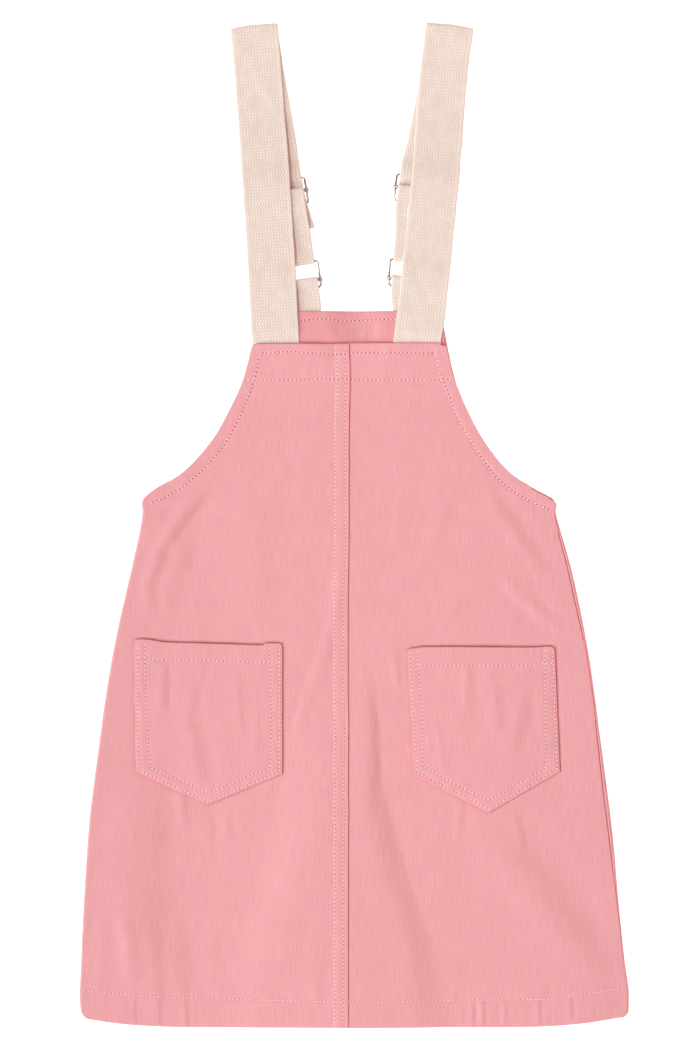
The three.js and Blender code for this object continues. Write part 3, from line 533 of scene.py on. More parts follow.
POCKET_MOUTHS = row_tree([mouth_row(shape) for shape in POCKETS.values()])


def strap_cover(run, x, y, clear, ease):
    """1 where a run of the straps lies on the cloth, easing to 0 beside it."""
    cover = np.zeros(np.shape(x))
    for strap in STRAPS.values():
        away = np.abs(x - strap[run].straight("x", y))
        past = STRAP_HALF_WIDTH + clear
        cover = np.maximum(cover, 1 - smooth(past, past + ease, away))
    return cover


BUMP_CLEAR = 2.0
BUMP_EASE = 30.0
LOWEST_FRONT = 2.45
LOW_EASE = 0.15


def front_height(x, y):
    """Height of the front's outer face, without seams and puckers."""
    height = BASE_HEIGHT + fold_height(x, y) + ridge_height(x, y)
    height = height + ripples(FRONT_RIPPLES, x, y)
    from_pocket = row_distance(POCKET_EDGES, x, y) / POCKET_GROOVE_REACH
    height = height - POCKET_GROOVE * np.exp(-from_pocket ** 2)
    height = height + (HEM_HEIGHT - BASE_HEIGHT) * (1 - smooth(HEM_DEPTH, HEM_EASE_TOP, y))
    height = height + (BIB_MIDDLE_HEIGHT - BASE_HEIGHT) * smooth(BIB_EASE_BOTTOM, BIB_TOP, y)
    lifted_by_strap = np.maximum(height, BIB_STACK.straight("height", y))
    height = mix(height, lifted_by_strap, strap_cover("front", x, y, BUMP_CLEAR, BUMP_EASE))
    from_left = np.maximum(x - BODY.curved("left", y) - EDGE_RADIUS, 0) / SIDE_EASE
    from_right = np.maximum(BODY.curved("right", y) - EDGE_RADIUS - x, 0) / SIDE_EASE
    side = np.exp(-from_left ** 2) + np.exp(-from_right ** 2)
    height = mix(height, 2 * EDGE_RADIUS, side * BODY.straight("wrap", y))
    return LOWEST_FRONT + LOW_EASE * np.logaddexp(0, (height - LOWEST_FRONT) / LOW_EASE)


# Stitch rows, as points on the flat
STITCH_PITCH = 3.3
STITCH_LENGTH = 2.3
THREAD_RADIUS = 0.29
ARMHOLE_HEM = 9.2
SEAM_ROWS = (-10.8, -3.7)
SEAM_ROW_ENDS = (3.0, BIB_TOP - 2.5)
BIB_BAND_ROW = 516.8
FACING_ROW = 564.6

HEM_STITCHES = [
    (-213, 23.0), (-199, 23.6), (-175, 24.4), (-150, 24.3), (-119, 23.2), (-79, 22.4),
    (-31, 21.6), (-12, 20.9), (64, 20.8), (90, 21.6), (137, 21.9), (160, 22.0), (185, 23.4),
    (201, 24.1), (220, 24.8),
]
BIB_TOP_STITCHES = [
    (-71.8, 536.2), (-70, 537.6), (-59, 538.5), (-47, 539.2), (-35, 538.4), (-23, 538.0),
    (-15, 536.8), (-6, 536.9), (1, 538.3), (45, 538.4), (57, 537.6), (68, 537.8), (69.3, 536.8),
]
BIB_BAND_STITCHES = [(-82, 516.6), (-40, 516.8), (-20, 517.5), (-4, 517.4), (8, 516.8),
                     (40, 516.7), (82, 517.0)]
LEFT_ARMHOLE_STITCHES = [
    (-71.8, 536.2), (-72.8, 530.2), (-73.8, 523.4), (-75.8, 516.8), (-78.2, 508.8),
    (-82.6, 498.2), (-86.6, 488.2), (-92.6, 476.8), (-99.2, 465.4), (-107.2, 455.4),
    (-116.6, 444.8), (-125.2, 437.4), (-133.2, 430.8), (-143.2, 424.8), (-151.2, 420.8),
    (-159.4, 418.0),
]
RIGHT_ARMHOLE_STITCHES = [
    (69.3, 536.8), (71.3, 527.8), (73.3, 520.8), (79.8, 504.8), (82.3, 496.8), (84.8, 490.3),
    (90.3, 479.3), (94.8, 472.8), (102.0, 460.4), (109.8, 448.8), (116.8, 439.8),
    (123.8, 433.3), (129.8, 428.8), (134.8, 425.2), (145.8, 419.3), (156.8, 414.3),
    (162.3, 411.8),
]
FACING_STITCHES = [
    (-75, 564.2), (-37.6, 564.0), (-23, 565.2), (-13, 564.6), (-3, 563.3), (6, 564.0),
    (13, 564.5), (29, 564.8), (75, 564.6),
]
BACK_STITCHES = [
    [(-206, 22.0), (-150, 22.6), (0, 22.0), (150, 22.4), (206, 22.2)],
    [(-69, FACING_ROW), (69, FACING_ROW)],
    LEFT_ARMHOLE_STITCHES,
    RIGHT_ARMHOLE_STITCHES,
]
GROOVE_DEPTH = 0.2
GROOVE_WIDTH = 1.25
PUCKER_REACH = 5.0
WANDER_FULL = 14.0
WANDER_END = 70.0


def seam_wander(x, y):
    """How far the centre seam strays sideways, easing out beside it."""
    return SEAM_WANDER.curved("x", y) * (1 - smooth(WANDER_FULL, WANDER_END, np.abs(x)))


def front_rows():
    """Stitch rows of the front, as lists of points on the flat."""
    rows = [
        HEM_STITCHES, BIB_TOP_STITCHES, BIB_BAND_STITCHES, LEFT_ARMHOLE_STITCHES,
        RIGHT_ARMHOLE_STITCHES,
    ]
    rows = [fine_row(row) for row in rows]
    for x in SEAM_ROWS:
        row = fine_row([(x, end) for end in SEAM_ROW_ENDS])
        row[:, 0] += seam_wander(row[:, 0], row[:, 1])
        rows.append(row)
    return rows


FRONT_TREE = row_tree(front_rows())


def window(low, high, ease, value):
    """1 between two places and 0 away from them."""
    return smooth(low - ease, low, value) * (1 - smooth(high, high + ease, value))


# Where the front's right edge draws back: how far, from, to, and the easing
DRAWN_BACK = ((0.75, 516, 536, 8), (3.4, 422, 428, 5))


def back_shows(y):
    """How far the front's right edge draws back so that the back shows."""
    return sum(far * window(low, high, ease, y) for far, low, high, ease in DRAWN_BACK)


def corner_pull(points, corner, pull, reach):
    """Draws the cloth in at a corner, which rounds it."""
    inward = np.sign(-np.asarray(corner)) * np.array([1.0, 0.0]) + np.array([0.0, -1.0])
    away = np.hypot(points[..., 0] - corner[0], points[..., 1] - corner[1])
    share = np.clip(1 - away / reach, 0, 1) ** 2
    points[..., :2] += pull * math.sqrt(0.5) * share[..., None] * inward


def seam_relief(x, y, distance, seed):
    """Groove along the stitch rows with small uneven puckers beside it."""
    pucker = np.exp(-(distance / PUCKER_REACH) ** 2) * ripples(PUCKERS, x, y, seed)
    return stitch_groove(distance) + pucker


def stitch_groove(distance):
    """Depth of the groove that a row of stitches presses into the cloth."""
    return -GROOVE_DEPTH * np.exp(-(distance / GROOVE_WIDTH) ** 2)


def surface_normals(points):
    """Unit normals of a grid of points, upwards where the grid lies flat."""
    along = np.gradient(points, axis=1)
    up = np.gradient(points, axis=0)
    normal = np.cross(along, up)
    return normal / np.linalg.norm(normal, axis=2, keepdims=True)


def new_piece(name, vertices, faces, finish, uv=None):
    """A smooth-shaded object from millimetre points, facing outwards."""
    mesh = bpy.data.meshes.new(name)
    mesh.from_pydata(on_frame(vertices).tolist(), [], faces)
    mesh.polygons.foreach_set("use_smooth", np.ones(len(mesh.polygons), bool))
    if uv is not None:
        layer = mesh.uv_layers.new(name="grain")
        corner = np.empty(len(mesh.loops), int)
        mesh.loops.foreach_get("vertex_index", corner)
        layer.data.foreach_set("uv", np.asarray(uv, float)[corner].ravel())
    mesh.materials.append(finish)
    mesh.update()
    if signed_volume(mesh) < 0:
        mesh.flip_normals()
    piece = bpy.data.objects.new(name, mesh)
    bpy.context.scene.collection.objects.link(piece)
    return piece


def signed_volume(mesh):
    """Volume of a closed mesh, below 0 where its faces look inwards."""
    mesh.calc_loop_triangles()
    spots = np.empty(3 * len(mesh.vertices))
    mesh.vertices.foreach_get("co", spots)
    corners = np.empty(3 * len(mesh.loop_triangles), int)
    mesh.loop_triangles.foreach_get("vertices", corners)
    a, b, c = spots.reshape(-1, 3)[corners.reshape(-1, 3)].transpose(1, 0, 2)
    return float(np.einsum("ij,ij->", a, np.cross(b, c)))


def grid_faces(rows, columns, start=0):
    """Faces of a grid of points, whose first has the number start."""
    k = start + np.arange(rows - 1)[:, None] * columns + np.arange(columns - 1)
    return np.stack([k, k + 1, k + columns + 1, k + columns], axis=2).reshape(-1, 4).tolist()


def border(rows, columns, start=0):
    """Numbers of the points round the edge of a grid, counter-clockwise."""
    index = start + np.arange(rows * columns).reshape(rows, columns)
    ring = np.concatenate([
        index[0, :-1], index[:-1, -1], index[-1, :0:-1], index[:0:-1, 0],
    ])
    return ring.tolist()


def flat_places(x, y):
    """The grain of a piece, which its finish follows."""
    return np.stack([x, y], axis=2) / GRAIN_UNIT


# The inner face of a cloth shell has one point for this many of the outer one.
INSIDE_STEP = 3
RIM_BULGE = 0.35


def cloth_shell(name, outer, normals, thickness, finish, uv, bulge=RIM_BULGE):
    """A closed shell: a fine outer face, a coarser inner one and a round edge."""
    rows, columns = outer.shape[:2]
    depth = normals * np.reshape(thickness, (*np.shape(thickness), 1))
    inner = (outer - depth)[::INSIDE_STEP, ::INSIDE_STEP]
    inner_rows, inner_columns = inner.shape[:2]
    ring = border(rows, columns)
    flat = outer.reshape(-1, 3)
    depth = depth.reshape(-1, 3)
    nearby = np.roll(flat[ring], -1, axis=0) - np.roll(flat[ring], 1, axis=0)
    away = np.cross(nearby, depth[ring])
    away /= np.maximum(np.linalg.norm(away, axis=1, keepdims=True), 1e-9)
    rim = flat[ring] - depth[ring] / 2 + away * bulge
    vertices = np.concatenate([flat, rim, inner.reshape(-1, 3)])
    rim_start = len(flat)
    inner_start = rim_start + len(rim)
    faces = grid_faces(rows, columns)
    faces += [face[::-1] for face in grid_faces(inner_rows, inner_columns, inner_start)]
    inner_ring = border(inner_rows, inner_columns, inner_start)
    count = len(ring)
    for k in range(count):
        following = (k + 1) % count
        faces.append((ring[k], rim_start + k, rim_start + following, ring[following]))
        base = inner_ring[k // INSIDE_STEP]
        faces.append((rim_start + k, base, rim_start + following))
        if k % INSIDE_STEP == INSIDE_STEP - 1:
            following_base = inner_ring[(k // INSIDE_STEP + 1) % len(inner_ring)]
            faces.append((rim_start + following, base, following_base))
    uv = uv.reshape(-1, 2)
    inner_uv = uv.reshape(rows, columns, 2)[::INSIDE_STEP, ::INSIDE_STEP].reshape(-1, 2)
    return new_piece(name, vertices, faces, finish, np.concatenate([uv, uv[ring], inner_uv]))


def mark_painted_shade(piece, painted_shade):
    """Marks painted shade: where cloth lies close to cloth, its colour is painted a deeper red."""
    ring = border(*painted_shade.shape)
    flat = painted_shade.ravel()
    values = np.zeros(len(piece.data.vertices))
    values[:len(flat)] = flat
    values[len(flat):len(flat) + len(ring)] = flat[ring]
    layer = piece.data.attributes.new("painted_shade", "FLOAT", "POINT")
    layer.data.foreach_set("value", values)


def fitted_steps(length, spacing):
    """A number of steps that the coarser inner face can divide."""
    return max(int(round(length / spacing / INSIDE_STEP)), 2) * INSIDE_STEP


def side_curl(sign, y, reach):
    """Edge of a panel, where it is seamed, how far in its seam is and its roll.

    The reach is -1 for the front, which stops before the seam, and 1 for the
    back, which rolls round to it.
    """
    outline = np.abs(BODY.curved("left" if sign < 0 else "right", y))
    if sign > 0 and reach < 0:
        outline = outline - back_shows(y)
    wrap = BODY.straight("wrap", y)
    inside = np.zeros_like(y) if sign < 0 else SIDE_SEAM.straight("inside", y)
    seam_angle = np.arccos(np.clip(1 - inside / EDGE_RADIUS, 0, 1))
    gap = CURL_GAP if sign < 0 else OPEN_SEAM_GAP / 2 / EDGE_RADIUS
    curl = np.maximum(wrap * (math.pi / 2 + reach * seam_angle) - gap, 0)
    return outline, wrap, inside, curl


# Places of the close columns, in millimetres from the free edge and the seam
EDGE_STEPS = np.array([13, 11.6, 10.4, 9.2, 8.4, 7.6, 6.8, 5.9, 5, 4.2, 3.4, 2.7, 2.1, 1.5,
                       1.0, 0.6, 0.25, 0.125, 0])
LAP_STEPS = np.array([0, 0.3, 0.8, 1.5, 2.3, 3.0, 3.8, 4.8, 6, 7.2, 8.4, 9.4, 10.2, 10.6,
                      11.1, 12.0])
PLAIN_STEPS = np.array([0, 0.4, 1.0])
PANEL_SPREAD = 200
HEM_RELIEF = 0.25
# How softly a hem's edge shows: at the armholes, and below and above each row
ARMHOLE_EASE = 1.0
HEM_EASE = (0.2, 1.2)
BAND_EASE = (0.8, 0.6)
# How far painted shade reaches beside the pockets, from the centre seam's gap and inside the right
# side seam
PAINTED_SHADE_REACH = 0.7
GAP_SHADE_FROM = 0.1
SIDE_SHADE = (0.2, 1.0)


# What each front half does its own way. The pull rounds the corner of its bib, and the gap shade is
# how far painted shade reaches from the centre seam.
FrontHalf = namedtuple("FrontHalf", "side sign seam_steps pull pull_reach seed gap_shade")
FRONT_HALVES = (
    FrontHalf("left", -1, LAP_STEPS, 1.3, 5.0, 11, 0.5),
    FrontHalf("right", 1, PLAIN_STEPS, 2.1, 7.0, 17, 1.2),
)


def front_columns(half, width, cell):
    """Distance of each column from the free edge, close at the edge and the seam."""
    start = half.seam_steps
    close = len(start) + len(EDGE_STEPS) - 2
    free = fitted_steps(PANEL_SPREAD - len(start), cell) - close % INSIDE_STEP
    share = np.arange(1, free) / free
    lows = width[:, None] - start[None, :]
    middles = mix(lows[:, -1:], EDGE_STEPS[0], share[None, :])
    edges = np.repeat(EDGE_STEPS[None, :], len(width), axis=0)
    return np.concatenate([lows, middles, edges], axis=1)


def front_panel(half, cell, thickness):
    """Outer points, normals, thickness, grain and painted shade of one front half."""
    sign = half.sign
    rows = fitted_steps(BIB_TOP, cell) + 1
    y = np.linspace(0, BIB_TOP, rows)
    outline, wrap, inside, curl = side_curl(sign, y, -1)
    beyond = np.where((curl > 0) | (wrap == 0), 0, OPEN_SEAM_GAP)
    past = np.maximum(inside - EDGE_RADIUS, 0) + beyond
    rolled = EDGE_RADIUS * mix(np.sin(curl), 1, wrap)
    inset = np.where((wrap > 0) & (inside >= EDGE_RADIUS), EDGE_RADIUS + past, rolled)
    centre = outline - inset
    from_edge = front_columns(half, centre - SEAM_HALF_GAP + EDGE_RADIUS * curl, cell)
    curl = curl[:, None]
    yy = np.repeat(y[:, None], from_edge.shape[1], axis=1)
    angle = np.where(from_edge < EDGE_RADIUS * curl, curl - from_edge / EDGE_RADIUS, 0)
    flat_x = sign * (centre[:, None] - np.maximum(from_edge - EDGE_RADIUS * curl, 0))
    x = flat_x + sign * EDGE_RADIUS * np.sin(angle)
    z = front_height(flat_x, yy) - EDGE_RADIUS * (1 - np.cos(angle))
    x = x + seam_wander(x, yy)
    points = np.stack([x, lifted(x, yy), z], axis=2)
    corner = BODY.curved(half.side, BIB_TOP)
    corner_pull(points, (corner, BIB_TOP), half.pull, half.pull_reach)
    normals = sign * surface_normals(points)
    relief = seam_relief(x, yy, row_distance(FRONT_TREE, x, yy), half.seed)
    relief = relief + ripples(YARN_RIPPLES, x, yy)
    from_mouth = row_distance(POCKET_MOUTHS, x, yy)
    relief = relief - MOUTH_DIP * np.exp(-(from_mouth / MOUTH_REACH) ** 2)
    relief = relief + HEM_RELIEF * front_hems(x, yy, from_edge, wrap)
    depth = np.full(x.shape, thickness)
    from_gap = np.abs(x - seam_wander(x, yy))
    if sign < 0:
        from_seam = np.abs(x + SEAM_HALF_GAP - seam_wander(x, yy))
        lap = LAP_EXTRA * (1 - smooth(LAP_WIDTH - 0.2, LAP_WIDTH + 1.0, from_seam))
        relief = relief + lap
        depth = depth + lap
    # Painted shade beside the pockets' edges and mouths, at the centre seam's gap and inside the
    # right side seam
    beside = np.minimum(row_distance(POCKET_EDGES, x, yy), from_mouth)
    painted_shade = np.exp(-(beside / PAINTED_SHADE_REACH) ** 2)
    painted_shade = np.maximum(painted_shade, 1 - smooth(GAP_SHADE_FROM, half.gap_shade, from_gap))
    if sign > 0:
        side_seam_shade = (1 - smooth(*SIDE_SHADE, from_edge)) * wrap[:, None]
        painted_shade = np.maximum(painted_shade, side_seam_shade)
    points = points + normals * relief[..., None]
    return points, normals, depth, flat_places(x, yy), painted_shade


def front_hems(x, y, from_edge, wrap):
    """How many hems lie under each place of the front, with soft edges."""
    armhole = 1 - smooth(ARMHOLE_HEM, ARMHOLE_HEM + ARMHOLE_EASE, from_edge)
    armhole = armhole * (1 - wrap[:, None])
    hem_top = np.interp(x, *np.transpose(HEM_STITCHES))
    hem = 1 - smooth(hem_top - HEM_EASE[0], hem_top + HEM_EASE[1], y)
    return armhole + hem + smooth(BIB_BAND_ROW - BAND_EASE[0], BIB_BAND_ROW + BAND_EASE[1], y)


# The back lies on the floor by its edges and stands a little clear inside them.
BACK_LIFT = 0.34
BACK_BULGE = 0.2
BACK_FOLDS = [
    (9.0, 0.22, [(-150, 400), (-128, 350), (-120, 300)]),
    (8.0, 0.20, [(142, 400), (120, 360), (112, 310)]),
    (12.0, 0.24, [(-60, 330), (-74, 220), (-90, 120)]),
    (12.0, 0.22, [(40, 300), (50, 180), (70, 60)]),
    (9.0, 0.20, [(120, 200), (160, 40)]),
    (8.0, 0.18, [(-150, 160), (-170, 40)]),
    (6.0, 0.15, [(-20, 140), (-30, 20)]),
    (6.0, 0.15, [(88, 430), (60, 380)]),
]


BACK_STEPS = np.array([14, 12.4, 11, 10.2, 9.4, 8.6, 7.8, 7, 6.2, 5.4, 4.6, 3.8, 3, 2.2,
                       1.4, 0.7, 0])
BACK_SPREAD = 360
BIB_TURNS_BACK = (452, 462)
UNDERARM = (421, 428, 6)
LOW_PART = 1.2
LIFT_EASE = 4
FLAT_BIB = (480, 520)


def back_side(sign, name, y):
    """One rolled side of the back: places of its columns, from the middle out."""
    body_y = np.minimum(y, BIB_TOP)
    outline, wrap, inside, curl = side_curl(sign, body_y, 1)
    inset = ARMHOLE_INSET * (1 - wrap)
    if sign > 0:
        inset = inset * (1 - window(*UNDERARM, y))
    on_bib = smooth(*BIB_TURNS_BACK, y)
    outline = mix(outline - inset, np.abs(BACK_BIB.curved(name, y)), on_bib)
    wrap = wrap * (y < BIB_TOP)
    curl = curl * (y < BIB_TOP)
    over = (wrap * np.maximum(inside - EDGE_RADIUS, 0))[:, None]
    half = np.minimum(curl, math.pi / 2)
    centre = (outline - EDGE_RADIUS * mix(np.sin(half), 1, wrap))[:, None]
    curl = curl[:, None]
    from_edge = BACK_STEPS[None, :]
    angle = curl - np.clip((from_edge - over) / EDGE_RADIUS, 0, curl)
    flat = np.maximum(from_edge - over - EDGE_RADIUS * curl, 0)
    top = from_edge < over
    x = np.where(top, centre - over + from_edge, centre + EDGE_RADIUS * np.sin(angle) - flat)
    z = np.where(top, 2 * EDGE_RADIUS, EDGE_RADIUS * (1 - np.cos(angle)))
    return sign * x, z


def back_panel(cell):
    """Under face of the back, rolled up at the sides to meet the front."""
    rows = fitted_steps(BACK_TOP, cell) + 1
    y = np.linspace(0, BACK_TOP, rows)
    left_x, left_z = (places[:, ::-1] for places in back_side(-1, "left", y))
    right_x, right_z = back_side(1, "right", y)
    close = len(BACK_STEPS)
    free = fitted_steps(BACK_SPREAD, cell) + 2 - (2 * close - 1) % INSIDE_STEP
    share = np.arange(1, free)[None, :] / free
    middle_x = mix(left_x[:, -1:], right_x[:, :1], share)
    x = np.concatenate([left_x, middle_x, right_x], axis=1)
    z = np.concatenate([left_z, np.zeros_like(middle_x), right_z], axis=1)
    # Spare columns beside the left edge, until the coarser inner face fits.
    for k in range((1 - x.shape[1]) % INSIDE_STEP):
        column = 2 * k + close + 1
        x = np.insert(x, column, (x[:, column - 1] + x[:, column]) / 2, axis=1)
        z = np.insert(z, column, 0.0, axis=1)
    yy = np.repeat(y[:, None], x.shape[1], axis=1)
    index = np.arange(x.shape[1])
    from_side = np.minimum(index, index[::-1]) - close * 0.45
    inwards = smooth(0, LIFT_EASE, from_side)[None, :]
    flat = inwards * smooth(HEM_DEPTH, HEM_DEPTH + LIFT_EASE, yy)
    flat = flat * (1 - smooth(BACK_TOP - 2 * LIFT_EASE, BACK_TOP - LIFT_EASE, yy))
    rise = fold_height(x, yy, BACK_FOLDS) * (1 - smooth(*FLAT_BIB, yy))
    rise = rise + ripples(BACK_RIPPLES, x, yy)
    z = z + (flat * rise + BACK_LIFT * inwards) * (z < LOW_PART)
    points = np.stack([x, lifted(x, yy), z], axis=2)
    return points, -surface_normals(points), flat_places(x, yy)


FACING_FOLDS = [
    (2.4, 0.24, [(18, 562), (15, 553), (12, 546)]),
    (3.0, -0.16, [(24, 564), (21, 550)]),
    (4.0, 0.14, [(-12, 572), (-16, 552)]),
]
FACING_LOW = 2.9
FACING_HIGH = 5.5
FACING_EASE = 24.0
FACING_CLEAR = 4.0
FACING_WIDTH = 150
FACING_INSET = 1
FACING_BULGE = 0.25
FACING_SHADE = (0.2, 2.2)


def facing_height(x, y):
    """Height of the facing, which the ends of the loops lift."""
    cover = strap_cover("loop", x, y, FACING_CLEAR, FACING_EASE)
    clear = BACK_TOP - LOOP_TAIL - 1.5
    return mix(FACING_LOW, FACING_HIGH, cover * smooth(clear - FACING_EASE, clear, y))


def facing_panel(cell):
    """Outer points, normals and grain of the facing."""
    rows = fitted_steps(FACING_DEPTH, cell) + 1
    columns = fitted_steps(FACING_WIDTH, cell) + 1
    y = np.linspace(BACK_TOP - FACING_DEPTH, BACK_TOP, rows)
    left = BACK_BIB.curved("left", y) + FACING_INSET
    right = BACK_BIB.curved("right", y) - FACING_INSET
    share = np.linspace(0, 1, columns)
    x = mix(left[:, None], right[:, None], share[None, :])
    yy = np.repeat(y[:, None], columns, axis=1)
    row_y = np.interp(x, *np.transpose(FACING_STITCHES))
    relief = stitch_groove(yy - row_y)
    relief = relief + ripples(FACING_RIPPLES, x, yy) + fold_height(x, yy, FACING_FOLDS)
    points = np.stack([x, yy, facing_height(x, yy) + relief], axis=2)
    return points, surface_normals(points), flat_places(x, yy)


def tip_share(shape):
    """Share of the pocket's width at which its tip lies."""
    left, tip, right = (shape[name][0] for name in ("bottom_left", "tip", "bottom_right"))
    return (tip - left) / (right - left)


def pocket_place(shape, across, down):
    """Flat place of a point on a pocket, from its two shares."""
    tip_x, tip_y = shape["tip"]
    left_x, left_y = shape["bottom_left"]
    right_x, right_y = shape["bottom_right"]
    bottom_x = mix(left_x, right_x, across)
    on_left = (bottom_x - left_x) / (tip_x - left_x)
    on_right = (bottom_x - tip_x) / (right_x - tip_x)
    bottom_y = np.where(across < tip_share(shape), mix(left_y, tip_y, on_left),
                        mix(tip_y, right_y, on_right))
    top_x = mix(shape["top_left"][0], shape["top_right"][0], across)
    top_y = shape["mouth"].curved("y", across)
    return mix(top_x, bottom_x, down), mix(top_y, bottom_y, down)


def pocket_rows(shape):
    """Stitch rows of a pocket."""
    return [fine_row(shape[name]) for name in ("outer", "inner", "hem")]


def pocket_height(x, y, across, down):
    """Height of a pocket's face, which puffs up most below its open mouth."""
    puff = np.sin(math.pi * across) * np.sin(math.pi * mix(PUFF_AT_MOUTH, 1, down))
    lift = POCKET_LIFT + POCKET_PUFF * np.sqrt(np.clip(puff, 0, 1))
    return front_height(x, y) + lift + POCKET_CLOTH


def pocket_panel(shape, cell, seed):
    """Outer points, normals and grain of a pocket."""
    columns = fitted_steps(POCKET_WIDTH, cell) + 1
    rows = fitted_steps(POCKET_DEPTH, cell) + 1
    half = (columns - 1) // 2
    tip = tip_share(shape)
    across = np.concatenate([
        np.linspace(0, tip, half + 1), np.linspace(tip, 1, columns - half)[1:],
    ])
    across, down = np.meshgrid(across, np.linspace(0, 1, rows))
    x, y = pocket_place(shape, across, down)
    height = pocket_height(x, y, across, down)
    distance = row_distance(row_tree(pocket_rows(shape)), x, y)
    relief = seam_relief(x, y, distance, seed)
    relief = relief + ripples(POCKET_RIPPLES, x, y, seed) * np.sin(math.pi * across)
    hem_y = np.interp(x, *np.transpose(shape["hem"]))
    relief = relief + POCKET_HEM_RELIEF * smooth(*POCKET_HEM_EASE, y - hem_y)
    points = np.stack([x, lifted(x, y), height], axis=2)
    for name, side in (("top_left", 1), ("top_right", -1)):
        away = np.hypot(x - shape[name][0], y - shape[name][1])
        share = np.clip(1 - away / POCKET_CORNER, 0, 1) ** 2
        points[..., 0] += side * share
        points[..., 1] -= share
    normals = -surface_normals(points)
    normals *= np.sign(normals[..., 2:3])
    points = points + normals * relief[..., None]
    return points, normals, flat_places(x, y)


TURN_REACH = 14.0
HOLD_EASE = 22.0
TURN_STATIONS = 15
# Spacing of the stations of a band, and closer on the front runs and the loops
STRAP_STEP = 1.0
CLOSE_STEP = 0.9
STRAP_START = 523


def along_band(table, y, holds):
    """Centre and turn of a band: square to its line, in line with any bars."""
    rise = table.straight("x", y + TURN_REACH) - table.straight("x", y - TURN_REACH)
    x = table.curved("x", y)
    turn = -np.arctan(rise / (2 * TURN_REACH))
    for hold_x, hold_y, hold_turn, hold_reach in holds:
        share = 1 - smooth(hold_reach, hold_reach + HOLD_EASE, np.abs(y - hold_y))
        x = mix(x, hold_x - math.tan(hold_turn) * (y - hold_y), share)
        turn = mix(turn, hold_turn, share)
    return x, turn


def plain_run(table, start, end, step, height_at, holds=()):
    """Stations of a band: x, y, z and turn, a row each."""
    count = max(int(round(abs(end - start) / step)), 1)
    y = np.linspace(start, end, count + 1)
    x, turn = along_band(table, y, holds)
    return np.stack([x, y, np.broadcast_to(height_at(y), y.shape), turn], axis=1)


def half_turn(first, last, centre_y, centre_z, radius, forward):
    """Half a turn between two stations, which it leaves out."""
    from_top = 1 if first[2] > last[2] else -1
    share = np.linspace(0, 1, TURN_STATIONS)[1:-1]
    angle = math.pi * share
    y = centre_y + forward * radius * np.sin(angle)
    z = centre_z + from_top * radius * np.cos(angle)
    return np.stack([mix(first[0], last[0], share), y, z, mix(first[3], last[3], share)], axis=1)


def joined_runs(runs, turns):
    """Runs of stations with a half turn between each and the next."""
    stations = [runs[0]]
    for run, turn in zip(runs[1:], turns):
        stations += [half_turn(stations[-1][-1], run[0], *turn), run]
    return np.concatenate(stations)


def strap_stations(strap):
    """Stations of a strap, from inside the front bib to its loose end."""
    bar_x, bar = strap["upper"]
    low_x, low_bar = strap["lower"]
    to_ring = SLIDER_LENGTH - LOWER_BAR_PLACE
    ring = low_bar + to_ring * math.cos(strap["lower_turn"])
    ring_x = low_x - to_ring * math.sin(strap["lower_turn"])
    ends = UPPER_BAR_PLACE * math.cos(strap["upper_turn"])
    holds = ((bar_x, bar, strap["upper_turn"], 15), (ring_x, ring, strap["lower_turn"], 5))
    shoulder_z = FLOOR_LAYER + SHOULDER_RADIUS
    shoulder_y = strap["top"] - SHOULDER_RADIUS - FLOOR_LAYER
    front = Table("y z", [
        (STRAP_START, 2.6), (538, 3.9), (546, 5.1), (556, 6.6), (BACK_TOP, 6.8), (low_bar - 4, 8.0),
        (low_bar + 5, 8.0), (ring + 4, 7.1), (bar - 28, 6.9), (bar - ends - 2, 7.5),
        (bar + 4, 7.6), (bar + 34, 4.2), (bar + 70, 2.7), (bar + 100, 3.0),
        (shoulder_y, shoulder_z + SHOULDER_RADIUS),
    ])
    running = Table("y z", [
        (bar - ends - 15, FLOOR_LAYER), (bar - ends - 1.5, OVER_END_BAR),
        (bar - ends + 1.5, OVER_END_BAR), (bar - 4, UNDER_BAR), (bar + 4, UNDER_BAR),
        (bar + ends - 1.5, OVER_END_BAR), (bar + ends + 1.5, OVER_END_BAR),
        (bar + ends + 15, FLOOR_LAYER),
    ])
    returning = Table("y z", [
        (ring, RING_HEIGHT + WRAP_RADIUS), (ring + 14, 3.7), (strap["tail_end"] - 4, 4.0),
        (bar - ends - 3, OVER_END_BAR + 2 * LAYER_STEP + 0.1),
        (bar, UPPER_BAR_HEIGHT + WRAP_RADIUS),
    ])
    tail = plain_run(strap["back"], bar, strap["tail_end"], STRAP_STEP,
                     lambda y: running.eased("z", y) + LAYER_STEP, holds)
    along = bar - tail[:, 1]
    tail[:, 0] += strap["tail_tilt"] * along
    tail[:, 3] += strap["tail_tilt"] * smooth(6, 20, along)
    runs = [
        plain_run(strap["front"], STRAP_START, shoulder_y, CLOSE_STEP,
                  lambda y: front.eased("z", y)),
        plain_run(strap["back"], shoulder_y, ring, STRAP_STEP,
                  lambda y: running.eased("z", y), holds),
        plain_run(strap["back"], ring, bar, STRAP_STEP,
                  lambda y: returning.eased("z", y), holds),
        tail,
    ]
    turns = [
        (shoulder_y, shoulder_z, SHOULDER_RADIUS, 1),
        (ring, RING_HEIGHT, WRAP_RADIUS, -1),
        (bar, UPPER_BAR_HEIGHT, WRAP_RADIUS, 1),
    ]
    return joined_runs(runs, turns)


